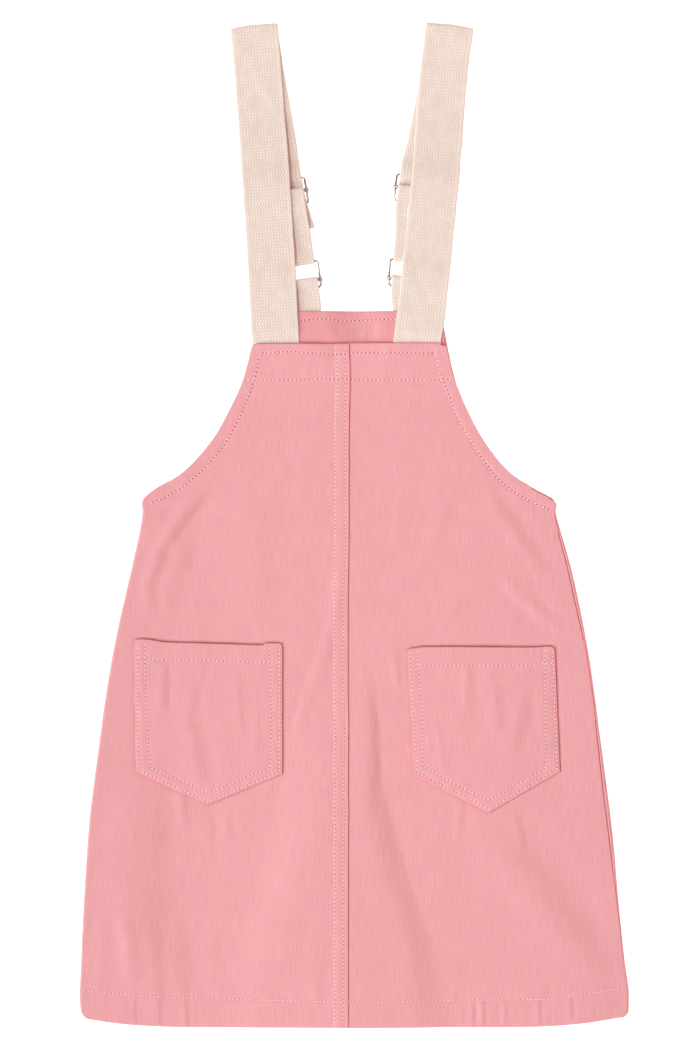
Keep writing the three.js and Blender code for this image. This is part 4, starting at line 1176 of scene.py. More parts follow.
def loop_stations(strap):
    """Stations of a loop, out from the facing, round its bar and back."""
    bar_x, bar = strap["lower"]
    bottom_bar = bar - LOWER_BAR_PLACE * math.cos(strap["lower_turn"])
    tail = BACK_TOP - LOOP_TAIL
    low_layer = 1.0 + SEAM_GAP + WEBBING / 2
    holds = ((bar_x, bar, strap["lower_turn"], 7),)
    low = Table("y z", [(BACK_TOP + 3, low_layer), (bottom_bar - 2, OVER_END_BAR)])
    high = Table("y z", [
        (BACK_TOP + 3, low_layer + LAYER_STEP), (bottom_bar - 2, OVER_END_BAR + LAYER_STEP + 0.4),
        (bar, LOOP_BAR_HEIGHT + WRAP_RADIUS),
    ])
    runs = [
        plain_run(strap["loop"], tail, bar, CLOSE_STEP, lambda y: low.eased("z", y), holds),
        plain_run(strap["loop"], bar, tail, CLOSE_STEP, lambda y: high.eased("z", y), holds),
    ]
    return joined_runs(runs, [(bar, LOOP_BAR_HEIGHT, WRAP_RADIUS, 1)])


BAND_COLUMNS = 57
BAND_INSET = 0.45
SELVAGE_OVERLAP = 1.03
RIB_PITCH = 2.36
ZIGZAG_LENGTH = 4.9
ZIGZAG_SWING = 0.6
SELVAGE = 1.9
SELVAGE_EASE = 0.6
RIB_RELIEF = 0.05


def webbing_relief(across, along):
    """Height of the woven zigzag ribs, plain along both edges."""
    phase = np.mod(along / ZIGZAG_LENGTH, 1.0)
    swing = ZIGZAG_SWING * (4 * np.abs(phase - 0.5) - 1)
    ribs = np.cos(2 * math.pi * (across + swing) / RIB_PITCH)
    edge = STRAP_HALF_WIDTH - SELVAGE
    body = 1 - smooth(edge - SELVAGE_EASE, edge, np.abs(across))
    return RIB_RELIEF * (ribs * body - 1)


FOLD_DIP = 2.2
FOLD_DIP_REACH = 14.0
DIP_FALL_ALONG = 1.5
DIP_FALL_ACROSS = 1.7
CUPPING_LEAN = 40


def webbing_band(name, stations, finish, seed, outer_side=0):
    """A woven band with ribbed faces and rounded selvages.

    At the shoulder fold its outer corner, if any, is drawn down.
    """
    centre = stations[:, :3]
    turn = stations[:, 3]
    across = np.stack([np.cos(turn), np.sin(turn), np.zeros_like(turn)], axis=1)
    face = np.cross(across, np.gradient(centre, axis=0))
    face /= np.linalg.norm(face, axis=1, keepdims=True)
    length = length_to(centre)
    edge_wander = ripples(EDGE_WANDER, length, 0 * length, seed)
    side = np.linspace(-1, 1, BAND_COLUMNS)
    grid_across = side[None, :] * (STRAP_HALF_WIDTH - BAND_INSET + edge_wander[:, None])
    up = WEBBING / 2 + webbing_relief(side[None, :] * STRAP_HALF_WIDTH, length[:, None])
    cup = ripples(CUPPING, length[:, None] + CUPPING_LEAN * side, 0 * grid_across, seed)
    flat = centre[:, None, :] + across[:, None, :] * grid_across[..., None]
    top = flat + face[:, None, :] * (up + cup)[..., None]
    under = flat - face[:, None, :] * (up - cup)[..., None]
    tip = STRAP_HALF_WIDTH + edge_wander
    left = centre - across * tip[:, None] + face * cup[:, :1]
    right = centre + across * tip[:, None] + face * cup[:, -1:]
    loop = np.concatenate([top, right[:, None], under[:, ::-1], left[:, None]], axis=1)
    if outer_side:
        ring_side = np.concatenate([side, [1], side[::-1], [-1]]) * outer_side
        from_fold = np.abs(length - length[np.argmax(centre[:, 1])]) / FOLD_DIP_REACH
        along = np.clip(1 - from_fold, 0, 1)[:, None] ** DIP_FALL_ALONG
        dip = along * np.clip(ring_side, 0, 1) ** DIP_FALL_ACROSS
        loop[..., 1] -= FOLD_DIP * dip
    u = np.concatenate([side, [SELVAGE_OVERLAP], side[::-1], [-SELVAGE_OVERLAP]])
    grain = flat_places(*np.broadcast_arrays(u[None, :] * STRAP_HALF_WIDTH, length[:, None]))
    faces = tube_faces(*loop.shape[:2])
    return new_piece(name, loop.reshape(-1, 3), faces, finish, grain.reshape(-1, 2))


def tube_faces(rings, sides, start=0):
    """Faces of a tube of point rings, closed at both ends."""
    index = start + np.arange(rings * sides).reshape(rings, sides)
    nearby = np.roll(index, -1, axis=1)
    faces = np.stack([index[:-1], nearby[:-1], nearby[1:], index[1:]], axis=2)
    return faces.reshape(-1, 4).tolist() + [index[0][::-1].tolist(), index[-1].tolist()]


def ring_faces(rings, sides, start=0):
    """Faces of a tube of point rings that runs back into its own start."""
    index = start + np.arange(rings * sides).reshape(rings, sides)
    nearby = np.roll(index, -1, axis=1)
    following = np.roll(index, -1, axis=0)
    faces = np.stack([index, nearby, np.roll(nearby, -1, axis=0), following], axis=2)
    return faces.reshape(-1, 4).tolist()


def wire_points(path, tangent, sides):
    """Rings of points round a wire's path."""
    tangent = tangent / np.linalg.norm(tangent, axis=1, keepdims=True)
    outward = np.stack([tangent[:, 1], -tangent[:, 0], np.zeros(len(path))], axis=1)
    outward /= np.linalg.norm(outward, axis=1, keepdims=True)
    upward = np.cross(tangent, outward)
    angle = 2 * math.pi * np.arange(sides) / sides
    rings = path[:, None] + WIRE_RADIUS * (
        np.cos(angle)[None, :, None] * outward[:, None]
        + np.sin(angle)[None, :, None] * upward[:, None])
    return rings.reshape(-1, 3)


def slider_frame_path(top_height, bar_place):
    """The bent wire of a slider, flat round its corners and bowed at its bar."""
    corners = [
        (SLIDER_HALF_WIDTH, 0, -math.pi / 2), (SLIDER_HALF_WIDTH, SLIDER_LENGTH, 0),
        (-SLIDER_HALF_WIDTH, SLIDER_LENGTH, math.pi / 2), (-SLIDER_HALF_WIDTH, 0, math.pi),
    ]
    path = []
    for k, (x, y, start) in enumerate(corners):
        centre_x = x - math.copysign(SLIDER_CORNER, x)
        centre_y = y + (SLIDER_CORNER if y == 0 else -SLIDER_CORNER)
        for angle in np.linspace(start, start + math.pi / 2, 9):
            path.append((centre_x + SLIDER_CORNER * math.cos(angle),
                         centre_y + SLIDER_CORNER * math.sin(angle)))
        next_x, next_y, _ = corners[(k + 1) % 4]
        if next_x == x:
            reach = np.linspace(SLIDER_CORNER, SLIDER_LENGTH - SLIDER_CORNER, 18)[1:-1]
            path += [(x, place if next_y > y else SLIDER_LENGTH - place) for place in reach]
        else:
            reach = np.linspace(-SLIDER_HALF_WIDTH + SLIDER_CORNER,
                                SLIDER_HALF_WIDTH - SLIDER_CORNER, 10)[1:-1]
            path += [(place * math.copysign(1, -x), y) for place in reach]
    path = np.array(path)
    plain = mix(WIRE_RADIUS, top_height, path[:, 1] / SLIDER_LENGTH)
    bow = 1 - smooth(1.8, bar_place - 0.5, np.abs(path[:, 1] - bar_place))
    path = np.column_stack([path, mix(plain, COLLAR_HEIGHT, bow)])
    path[:, 1] -= bar_place
    return path


def turned(points, seat, turn):
    """A slider's points at its seat on the strap."""
    c, s = math.cos(turn), math.sin(turn)
    x = seat[0] + c * points[:, 0] - s * points[:, 1]
    y = seat[1] + s * points[:, 0] + c * points[:, 1]
    return np.column_stack([x, y, points[:, 2]])


FRAME_WIRE_SIDES = 16
BAR_WIRE_SIDES = 14
BAR_RINGS = 40
BAR_END_BEND = 0.25
BAR_END_LENGTH = 1.2
COLLAR_TURNS = 20
COLLAR_GAP = 0.12


def slider_frame(name, finish, seat, turn, top_height, bar_place):
    """The bent wire frame of a slider."""
    path = slider_frame_path(top_height, bar_place)
    tangent = np.roll(path, -1, axis=0) - np.roll(path, 1, axis=0)
    points = wire_points(path, tangent, FRAME_WIRE_SIDES)
    faces = ring_faces(len(path), FRAME_WIRE_SIDES)
    return new_piece(name, turned(points, seat, turn), faces, finish)


def slider_bar(name, finish, seat, turn, bar_height):
    """The sliding bar: a wire whose ends are bent round the side wires."""
    reach = SLIDER_HALF_WIDTH + WIRE_RADIUS
    x = np.linspace(-reach, reach, BAR_RINGS)
    past = np.maximum(np.abs(x) - SLIDER_HALF_WIDTH + BAR_END_LENGTH, 0)
    path = np.column_stack([x, 0 * x, bar_height - BAR_END_BEND * past ** 2])
    parts = [wire_points(path, np.gradient(path, axis=0), BAR_WIRE_SIDES)]
    faces = tube_faces(len(path), BAR_WIRE_SIDES)
    inner = WIRE_RADIUS + COLLAR_GAP
    half = COLLAR_LENGTH / 2
    profile = np.array([
        (inner, -half), (inner + 0.5, -half - 0.15), (COLLAR_RADIUS - 0.15, -half + 0.1),
        (COLLAR_RADIUS, -half + 0.7), (COLLAR_RADIUS + 0.05, 0), (COLLAR_RADIUS, half - 0.7),
        (COLLAR_RADIUS - 0.15, half - 0.1), (inner + 0.5, half + 0.15), (inner, half),
    ])
    angle = 2 * math.pi * np.arange(COLLAR_TURNS) / COLLAR_TURNS
    for sign in (-1, 1):
        ring = np.stack([
            sign * SLIDER_HALF_WIDTH + np.cos(angle)[:, None] * profile[:, 0],
            np.repeat(profile[None, :, 1], COLLAR_TURNS, axis=0),
            COLLAR_HEIGHT + np.sin(angle)[:, None] * profile[:, 0],
        ], axis=2)
        start = sum(len(part) for part in parts)
        faces += [[a, d, c, b] for a, b, c, d in ring_faces(COLLAR_TURNS, len(profile), start)]
        parts.append(ring.reshape(-1, 3))
    return new_piece(name, turned(np.concatenate(parts), seat, turn), faces, finish)


RAY_START = 40.0


def laid_on(names, side=1):
    """Reads the height of the outermost of some pieces, from above or below."""
    depsgraph = bpy.context.evaluated_depsgraph_get()
    trees = [BVHTree.FromObject(bpy.data.objects[name], depsgraph) for name in names]

    def height_at(x, y):
        heights = np.zeros(len(x))
        for k, place in enumerate(zip(x, y)):
            start = on_frame((*place, side * RAY_START))
            hits = [tree.ray_cast(start, (0, 0, -side))[0] for tree in trees]
            hits = [hit[2] / METRES for hit in hits if hit is not None]
            heights[k] = side * max(side * hit for hit in hits) if hits else math.nan
        return heights

    return height_at


def stitch_ends(row, height_at):
    """Both ends of each stitch along a row, where the row lies on cloth."""
    run = length_to(row)
    count = int(run[-1] // STITCH_PITCH)
    places = (np.arange(count) + 0.5) * run[-1] / count
    ends = []
    for offset in (-STITCH_LENGTH / 2, STITCH_LENGTH / 2):
        x = np.interp(places + offset, run, row[:, 0])
        y = np.interp(places + offset, run, row[:, 1])
        y = lifted(x, y)
        ends.append(np.column_stack([x, y, height_at(x, y)]))
    ends = np.stack(ends, axis=1)
    return ends[np.isfinite(ends).all(axis=(1, 2))]


# Rings of a stitch: place between its ends, share of full thickness and height
STITCH_RINGS = ((-1.0, 0.5, -0.22), (-0.7, 0.95, 0.06), (-0.25, 1.0, 0.17), (0.25, 1.0, 0.17),
                (0.7, 0.95, 0.06), (1.0, 0.5, -0.22))
STITCH_SIDES = 6
# How far the ends of a stitch stray across, along and up
STITCH_SHAKE = (0.07, 0.07, 0.0175)
THREAD_SPREAD = 1.2
THREAD_PRESS = 0.6
BACK_BEDDING = 0.2


def stitches(name, ends, finish, seed, outward, size):
    """All stitches of one group as a single piece, each a short arch of thread."""
    bedding = BACK_BEDDING if outward < 0 else 0.0
    generator = np.random.default_rng(seed)
    ends = ends + generator.normal(0, 1, ends.shape) * STITCH_SHAKE
    middle_point = ends.mean(axis=1)
    along = ends[:, 1] - ends[:, 0]
    direction = along / np.linalg.norm(along, axis=1, keepdims=True)
    side = np.cross(np.array([0, 0, 1.0]), direction)
    side /= np.linalg.norm(side, axis=1, keepdims=True)
    up = np.cross(direction, side)
    angle = 2 * math.pi * np.arange(STITCH_SIDES) / STITCH_SIDES
    rings = []
    for share, swell, rise in STITCH_RINGS:
        centre = middle_point + along * share / 2 + outward * up * (rise - bedding)
        rings.append(centre[:, None] + THREAD_RADIUS * size * swell * (
            side[:, None] * np.cos(angle)[None, :, None] * THREAD_SPREAD
            + up[:, None] * np.sin(angle)[None, :, None] * THREAD_PRESS))
    points = np.stack(rings, axis=1)
    per_stitch = len(STITCH_RINGS) * STITCH_SIDES
    faces = []
    for k in range(len(ends)):
        faces += tube_faces(len(STITCH_RINGS), STITCH_SIDES, k * per_stitch)
    share = np.linspace(0, 1, len(STITCH_RINGS))
    uv = np.zeros((len(ends), len(STITCH_RINGS), STITCH_SIDES, 2))
    uv[..., 0] = np.arange(STITCH_SIDES) / STITCH_SIDES
    uv[..., 1] = share[None, :, None] + np.arange(len(ends))[:, None, None]
    return new_piece(name, points.reshape(-1, 3), faces, finish, uv.reshape(-1, 2))


HOLE_LENGTH = 0.66
HOLE_WIDTH = 0.5
HOLE_SIDES = 8
HOLE_RIM = 0.05
HOLE_DEPTH = 0.3


def painted_hole_shades(name, runs, finish, share):
    """A small plug between each stitch and the next, a share of full size, its top painted in the
    shade of a needle hole.
    """
    angle = 2 * math.pi * np.arange(HOLE_SIDES) / HOLE_SIDES
    points = []
    faces = []
    for ends in runs:
        for before, after in zip(ends[:-1, 1], ends[1:, 0]):
            along = (after - before) / max(np.linalg.norm(after - before), 1e-6)
            side = np.array([-along[1], along[0], 0.0])
            ring = share * (np.cos(angle)[:, None] * along * HOLE_LENGTH
                            + np.sin(angle)[:, None] * side * HOLE_WIDTH)
            spot = (before + after) / 2
            start = len(points)
            points += list(spot + ring + (0, 0, HOLE_RIM))
            points += list(spot + ring * 0.5 - (0, 0, HOLE_DEPTH))
            top = [start + n for n in range(HOLE_SIDES)]
            bottom = [n + HOLE_SIDES for n in top]
            faces += [top, bottom[::-1]]
            for n in range(HOLE_SIDES):
                m = (n + 1) % HOLE_SIDES
                faces.append([top[n], bottom[n], bottom[m], top[m]])
    return new_piece(name, np.array(points), faces, finish)


class Nodes:
    """A short way to make and link the nodes of one finish."""

    def __init__(self, name, colour):
        self.colour = (*colour, 1.0)
        self.material = bpy.data.materials.new(name)
        self.material.use_nodes = True
        self.tree = self.material.node_tree
        self.shader = self.tree.nodes["Principled BSDF"]

    def add(self, kind, **settings):
        """A new node."""
        node = self.tree.nodes.new(kind)
        for key, value in settings.items():
            setattr(node, key, value)
        return node

    def feed(self, socket, value):
        """Links a socket to another node's output, or sets it."""
        if hasattr(value, "is_output"):
            self.tree.links.new(value, socket)
        else:
            socket.default_value = value

    def math(self, operation, *values):
        """One step of arithmetic on outputs and numbers."""
        node = self.add("ShaderNodeMath", operation=operation)
        for socket, value in zip(node.inputs, values):
            self.feed(socket, value)
        return node.outputs[0]

    def noise(self, vector, scale, detail=2.0):
        """Soft spots of a scale."""
        node = self.add("ShaderNodeTexNoise")
        self.feed(node.inputs["Vector"], vector)
        node.inputs["Scale"].default_value = scale
        node.inputs["Detail"].default_value = detail
        return node.outputs["Fac"]

    def waves(self, vector, distortion=0.0):
        """Diagonal waves."""
        node = self.add("ShaderNodeTexWave", bands_direction="DIAGONAL")
        self.feed(node.inputs["Vector"], vector)
        node.inputs["Scale"].default_value = 1.0
        node.inputs["Distortion"].default_value = distortion
        return node.outputs["Fac"]

    def place(self):
        """The piece's own places in metres."""
        return self.add("ShaderNodeTexCoord").outputs["Object"]

    def grain(self):
        """The piece's own flat places, in tenths of a metre."""
        return self.add("ShaderNodeUVMap", uv_map="grain").outputs[0]

    def parts(self, vector):
        """The parts of a vector."""
        node = self.add("ShaderNodeSeparateXYZ")
        self.feed(node.inputs[0], vector)
        return node.outputs

    def stretched(self, vector, x, y):
        """A vector with its first two parts multiplied."""
        node = self.add("ShaderNodeMapping")
        self.feed(node.inputs["Vector"], vector)
        node.inputs["Scale"].default_value = (x, y, 1)
        return node.outputs[0]

    def between(self, value, low, high, start=0.0, end=1.0):
        """A value that runs from low to high while another goes from start to end."""
        ramp = self.add("ShaderNodeMapRange")
        self.feed(ramp.inputs["Value"], value)
        for name, level in (("From Min", start), ("From Max", end), ("To Min", low),
                            ("To Max", high)):
            ramp.inputs[name].default_value = level
        return ramp.outputs[0]

    def shade(self, colour, factor, low, high):
        """A colour made darker or lighter between two shares by a factor."""
        share = self.between(factor, low, high)
        node = self.add("ShaderNodeMix", data_type="RGBA", blend_type="MULTIPLY")
        node.inputs["Factor"].default_value = 1.0
        self.feed(node.inputs[6], colour)
        self.feed(node.inputs[7], share)
        return node.outputs[2]

    def bump(self, height, strength, distance):
        """Fine relief of the surface."""
        node = self.add("ShaderNodeBump")
        node.inputs["Strength"].default_value = strength
        node.inputs["Distance"].default_value = distance
        self.feed(node.inputs["Height"], height)
        self.tree.links.new(node.outputs[0], self.shader.inputs["Normal"])

    def finish(self, colour, roughness, metallic=0.0, sheen=0.0):
        """The material with its colour and gloss."""
        self.feed(self.shader.inputs["Base Color"], colour)
        self.feed(self.shader.inputs["Roughness"], roughness)
        self.shader.inputs["Metallic"].default_value = metallic
        self.shader.inputs["Sheen Weight"].default_value = sheen
        self.shader.inputs["Sheen Roughness"].default_value = 0.5
        return self.material


def made_once(make):
    """Turns a recipe into a finish that is asked for by its name and colour.

    It is made the first time, and the same one is handed out after that.
    """
    def finish(name, colour):
        return bpy.data.materials.get(name) or make(Nodes(name, colour))

    return finish


# Deep red painted into the twill as shade, where cloth lies close to cloth
PAINTED_SHADE_COLOUR = (0.87, 0.25, 0.29, 1.0)


@made_once
def twill(n):
    """Soft cotton twill with thick and thin yarns running down the dress, with painted shade
    towards its sides and where cloth lies close to cloth.
    """
    grain = n.grain()
    slub = n.noise(n.stretched(grain, 150, 5.5), 1.0)
    fine = n.noise(n.stretched(grain, 200, 70), 1.0, 1.5)
    cloudy = n.noise(n.stretched(grain, 3.2, 2.6), 1.0, 3.0)
    diagonal = n.waves(n.stretched(grain, 38, 26), 1.2)
    tone = n.shade(n.colour, slub, 0.83, 1.17)
    tone = n.shade(tone, fine, 0.90, 1.10)
    tone = n.shade(tone, cloudy, 0.975, 1.025)
    # Painted shade: the twill darkens towards the sides of the dress
    outward = n.between(n.math("ABSOLUTE", n.parts(grain)[0]), 0.0, 1.0, 0.7, 2.1)
    tone = n.shade(tone, outward, 1.0, 0.95)
    # Painted shade: the colour turns deep red where the piece's shade mark is set
    shade_mix = n.add("ShaderNodeMix", data_type="RGBA")
    n.feed(shade_mix.inputs[0], n.add("ShaderNodeAttribute", attribute_name="painted_shade").outputs["Fac"])
    n.feed(shade_mix.inputs[6], tone)
    n.feed(shade_mix.inputs[7], PAINTED_SHADE_COLOUR)
    height = n.math("ADD", n.math("MULTIPLY", slub, 0.8), n.math("MULTIPLY", diagonal, 0.12))
    height = n.math("ADD", height, n.math("MULTIPLY", fine, 0.4))
    n.bump(height, 0.6, 0.00035)
    return n.finish(shade_mix.outputs[2], 0.92, sheen=0.1)


@made_once
def webbing(n):
    """Cream cotton webbing: zigzag ribs, with painted shade in the lines between them."""
    grain = n.grain()
    parts = n.parts(grain)
    across = n.math("MULTIPLY", parts[0], GRAIN_UNIT)
    along = n.math("MULTIPLY", parts[1], GRAIN_UNIT)
    zig = n.math("PINGPONG", along, ZIGZAG_LENGTH / 2)
    swing = n.math("MULTIPLY", n.math("SUBTRACT", zig, ZIGZAG_LENGTH / 4),
                   -4 * ZIGZAG_SWING / ZIGZAG_LENGTH)
    phase = n.math("MULTIPLY", n.math("ADD", across, swing), 2 * math.pi / RIB_PITCH)
    ribs = n.math("MULTIPLY_ADD", n.math("COSINE", phase), 0.5, 0.5)
    turns = n.math("COSINE", n.math("MULTIPLY", along, 4 * math.pi / ZIGZAG_LENGTH))
    beads = n.math("MULTIPLY", ribs, n.math("MULTIPLY_ADD", turns, 0.3, 0.7))
    uneven = n.noise(n.stretched(grain, 14, 9), 1.0)
    beads = n.math("MULTIPLY", beads, n.math("MULTIPLY_ADD", uneven, 2.0, -0.1))
    edge = n.math("GREATER_THAN", n.math("ABSOLUTE", across), STRAP_HALF_WIDTH - SELVAGE)
    beads = n.math("MAXIMUM", beads, n.math("MULTIPLY", edge, 0.4))
    yarn = n.noise(n.stretched(grain, 120, 90), 1.0)
    cloudy = n.noise(n.stretched(grain, 6, 3), 1.0)
    # Painted shade: the colour darkens in the grooves between the ribs' beads
    tone = n.shade(n.colour, beads, 0.845, 1.155)
    tone = n.shade(tone, yarn, 0.93, 1.06)
    tone = n.shade(tone, cloudy, 0.975, 1.025)
    n.bump(n.math("ADD", beads, n.math("MULTIPLY", yarn, 0.5)), 0.5, 0.0003)
    return n.finish(tone, 0.88, sheen=0.1)


@made_once
def thread(n):
    """Twisted sewing thread."""
    twist = n.waves(n.stretched(n.grain(), 6, 14))
    n.bump(twist, 0.4, 0.0001)
    return n.finish(n.shade(n.colour, twist, 0.88, 1.05), 0.6, sheen=0.1)


@made_once
def shadowed_cloth(n):
    """Painted shade of cloth down in a needle hole."""
    return n.finish(n.shade(n.colour, n.noise(n.place(), 900.0), 0.8, 1.1), 0.95)


@made_once
def plated_wire(n):
    """Bright nickel-plated steel with faint drawing marks."""
    wear = n.noise(n.place(), 420.0, 3.0)
    n.bump(wear, 0.15, 0.0001)
    tone = n.shade(n.colour, wear, 0.9, 1.08)
    return n.finish(tone, n.between(wear, 0.16, 0.34), metallic=1.0)


@made_once
def pale_surface(n):
    """The pale floor, which light comes up through."""
    n.shader.inputs["Emission Color"].default_value = (1, 1, 1, 1)
    n.shader.inputs["Emission Strength"].default_value = sizes().floor_glow
    return n.finish(n.shade(n.colour, n.noise(n.place(), 3.0), 0.995, 1.005), 0.9)


def length_field(name, description, default, low, high):
    """A length in metres that a user would change."""
    return FloatProperty(name=name, description=description, default=default, min=low,
                         max=high, subtype="DISTANCE", unit="LENGTH")


def angle_field(name, description, degrees, low=0.1, high=1.57):
    """An angle that a user would change, given here in degrees."""
    return FloatProperty(name=name, description=description, default=math.radians(degrees),
                         min=low, max=high, subtype="ANGLE", unit="ROTATION")


def level_field(name, description, default, high):
    """A strength that a user would change."""
    return FloatProperty(name=name, description=description, default=default, min=0.0,
                         max=high)


def colour_field(name, description, default):
    """A colour that a user would change."""
    return FloatVectorProperty(name=name, description=description, default=default,
                               subtype="COLOR", size=3, min=0, max=1)


class DressSizes(PropertyGroup):
    """Sizes that a user would change."""

    cloth_thickness: length_field(
        "Cloth thickness", "Thickness of the twill", 0.0009, 0.0004, 0.002)
    front_cell: length_field(
        "Front cell", "Spacing of the points on the front panels", 0.0013, 0.001, 0.01)
    back_cell: length_field(
        "Back cell", "Spacing of the points on the back panel", 0.0032, 0.001, 0.01)
    small_cell: length_field(
        "Small cell", "Spacing of the points on pockets and facing", 0.0011, 0.0008, 0.01)
    camera_distance: length_field(
        "Camera distance", "Height of the camera over the dress", 1.9835, 0.5, 6.0)
    lens: FloatProperty(
        name="Lens", description="Focal length of the camera in millimetres",
        default=85.0, min=20.0, max=200.0)
    key_strength: level_field(
        "Key light", "Strength of the soft high light from the left", 1.75, 20.0)
    key_height: angle_field("Key height", "Angle of the soft light above the floor", 62)
    key_spread: angle_field("Key spread", "Angle that the soft light fills", 32, 0.0, 1.0)
    rake_strength: level_field(
        "Low light", "Strength of the low light that shows the folds", 1.60, 20.0)
    rake_height: angle_field("Low light height", "Angle of the low light above the floor", 24)
    rake_spread: angle_field("Low light spread", "Angle that the low light fills", 26, 0.0, 1.0)
    light_turn: angle_field(
        "Light turn", "Turn of both lights round the dress, 0 from the hem", -64, -3.15, 3.15)
    sky_strength: level_field("Room light", "Strength of the even light of the room", 0.58, 5.0)
    floor_glow: level_field(
        "Floor glow", "Light that comes up through the pale surface", 0.80, 5.0)


class DressColours(PropertyGroup):
    """Colours that a user would change."""

    twill: colour_field("Twill", "Pink of the skirt and bib", (0.835, 0.38, 0.397))
    pocket: colour_field("Pocket", "Pink of the pockets", (0.835, 0.379, 0.398))
    # The facing's pink is painted darker than the twill, as shade inside the back
    inner: colour_field("Inner face", "Pink of the facing inside the back", (0.81, 0.345, 0.36))
    webbing: colour_field("Webbing", "Cream of the straps", (0.865, 0.725, 0.64))
    thread: colour_field("Thread", "Colour of the top stitching", (1.0, 0.79, 0.78))
    hole: colour_field("Needle hole", "Cloth in the shade of a stitch hole", (0.72, 0.13, 0.16))
    metal: colour_field("Metal", "Plating of the sliders", (0.44, 0.41, 0.39))
    floor: colour_field("Floor", "Pale surface under the dress", (0.93, 0.93, 0.93))
    sunlight: colour_field("Light", "Colour of both lights", (0.70, 0.95, 1.0))
    room: colour_field("Room", "Colour of the even light of the room", (1.0, 0.64, 0.57))


def sizes():
    """The sizes that are set in the scene."""
    return bpy.context.scene.dress_sizes


def colours():
    """The colours that are set in the scene."""
    return bpy.context.scene.dress_colours


def in_mm(length):
    """A length of the scene in working sizes."""
    return length / METRES


def settle(piece, slot, *nodes):
    """Ties a piece to the dress and hides the CAD parts that it stands for. The slot is not used.
    """
    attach(piece, BODY_NAME)
    if nodes:
        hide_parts(*nodes)


class DRESS_OT_front(Operator):
    """Makes the two front halves, lapped at the centre seam."""

    bl_idname = "dress.front"
    bl_label = "Front halves"

    def execute(self, context):
        finish = twill("pink_twill", colours().twill)
        for half in FRONT_HALVES:
            points, normals, depth, uv, painted_shade = front_panel(
                half, in_mm(sizes().front_cell), in_mm(sizes().cloth_thickness))
            name = f"front_{half.side}_cloth"
            piece = cloth_shell(name, points, normals, depth, finish, uv)
            mark_painted_shade(piece, painted_shade)
            settle(piece, "twill", f"front_{half.side}")
        return {"FINISHED"}


class DRESS_OT_back(Operator):
    """Makes the back panel and the facing inside its bib."""

    bl_idname = "dress.back"
    bl_label = "Back and facing"

    def execute(self, context):
        thickness = in_mm(sizes().cloth_thickness)
        points, normals, uv = back_panel(in_mm(sizes().back_cell))
        piece = cloth_shell("back_cloth", points, normals, thickness,
                            twill("pink_twill", colours().twill), uv, BACK_BULGE)
        settle(piece, "twill", "back")
        points, normals, uv = facing_panel(in_mm(sizes().small_cell))
        piece = cloth_shell("facing_cloth", points, normals, thickness,
                            twill("pink_twill_inner", colours().inner), uv, FACING_BULGE)
        # Painted shade on the facing, just above the bib's top edge
        mark_painted_shade(piece, 1 - smooth(*FACING_SHADE, points[..., 1] - BIB_TOP))
        settle(piece, "facing", "back_facing")
        return {"FINISHED"}


class DRESS_OT_pockets(Operator):
    """Makes the two patch pockets."""

    bl_idname = "dress.pockets"
    bl_label = "Pockets"

    def execute(self, context):
        finish = twill("pink_twill_pocket", colours().pocket)
        for seed, (side, shape) in enumerate(POCKETS.items(), 41):
            points, normals, uv = pocket_panel(shape, in_mm(sizes().small_cell), seed)
            name = f"pocket_{side}_cloth"
            piece = cloth_shell(name, points, normals, POCKET_CLOTH, finish, uv)
            # Painted shade round the pocket's rim
            painted_shade = np.full(points.shape[:2], POCKET_RIM_SHADE)
            painted_shade[1:-1, 1:-1] = 0
            mark_painted_shade(piece, painted_shade)
            settle(piece, "twill", f"pocket_{side}")
        return {"FINISHED"}


class DRESS_OT_straps(Operator):
    """Makes the straps and the loops on the back bib from ribbed webbing."""

    bl_idname = "dress.straps"
    bl_label = "Straps and loops"

    def execute(self, context):
        finish = webbing("cream_webbing", colours().webbing)
        for seed, (side, strap) in enumerate(STRAPS.items()):
            outer = -1 if side == "left" else 1
            piece = webbing_band(
                f"strap_{side}_webbing", strap_stations(strap), finish, 51 + seed, outer)
            settle(piece, "webbing", f"strap_{side}")
            piece = webbing_band(f"loop_{side}_webbing", loop_stations(strap), finish, 61 + seed)
            settle(piece, "webbing", f"loop_{side}")
        return {"FINISHED"}


class DRESS_OT_sliders(Operator):
    """Makes the four wire sliders, each a frame and a sliding bar."""

    bl_idname = "dress.sliders"
    bl_label = "Wire sliders"

    def execute(self, context):
        finish = plated_wire("plated_wire", colours().metal)
        levels = {
            "upper": (WIRE_RADIUS, UPPER_BAR_PLACE, UPPER_BAR_HEIGHT),
            "lower": (RING_HEIGHT, LOWER_BAR_PLACE, LOOP_BAR_HEIGHT),
        }
        for side, strap in STRAPS.items():
            for level, (top_height, bar_place, bar_height) in levels.items():
                turn = strap[f"{level}_turn"]
                piece = slider_frame(f"frame_wire_{level}_{side}", finish, strap[level], turn,
                                     top_height, bar_place)
                settle(piece, "steel", f"slider_frame_{level}_{side}")
                piece = slider_bar(f"bar_wire_{level}_{side}", finish, strap[level], turn,
                                   bar_height)
                settle(piece, "steel", f"slider_bar_{level}_{side}")
        return {"FINISHED"}


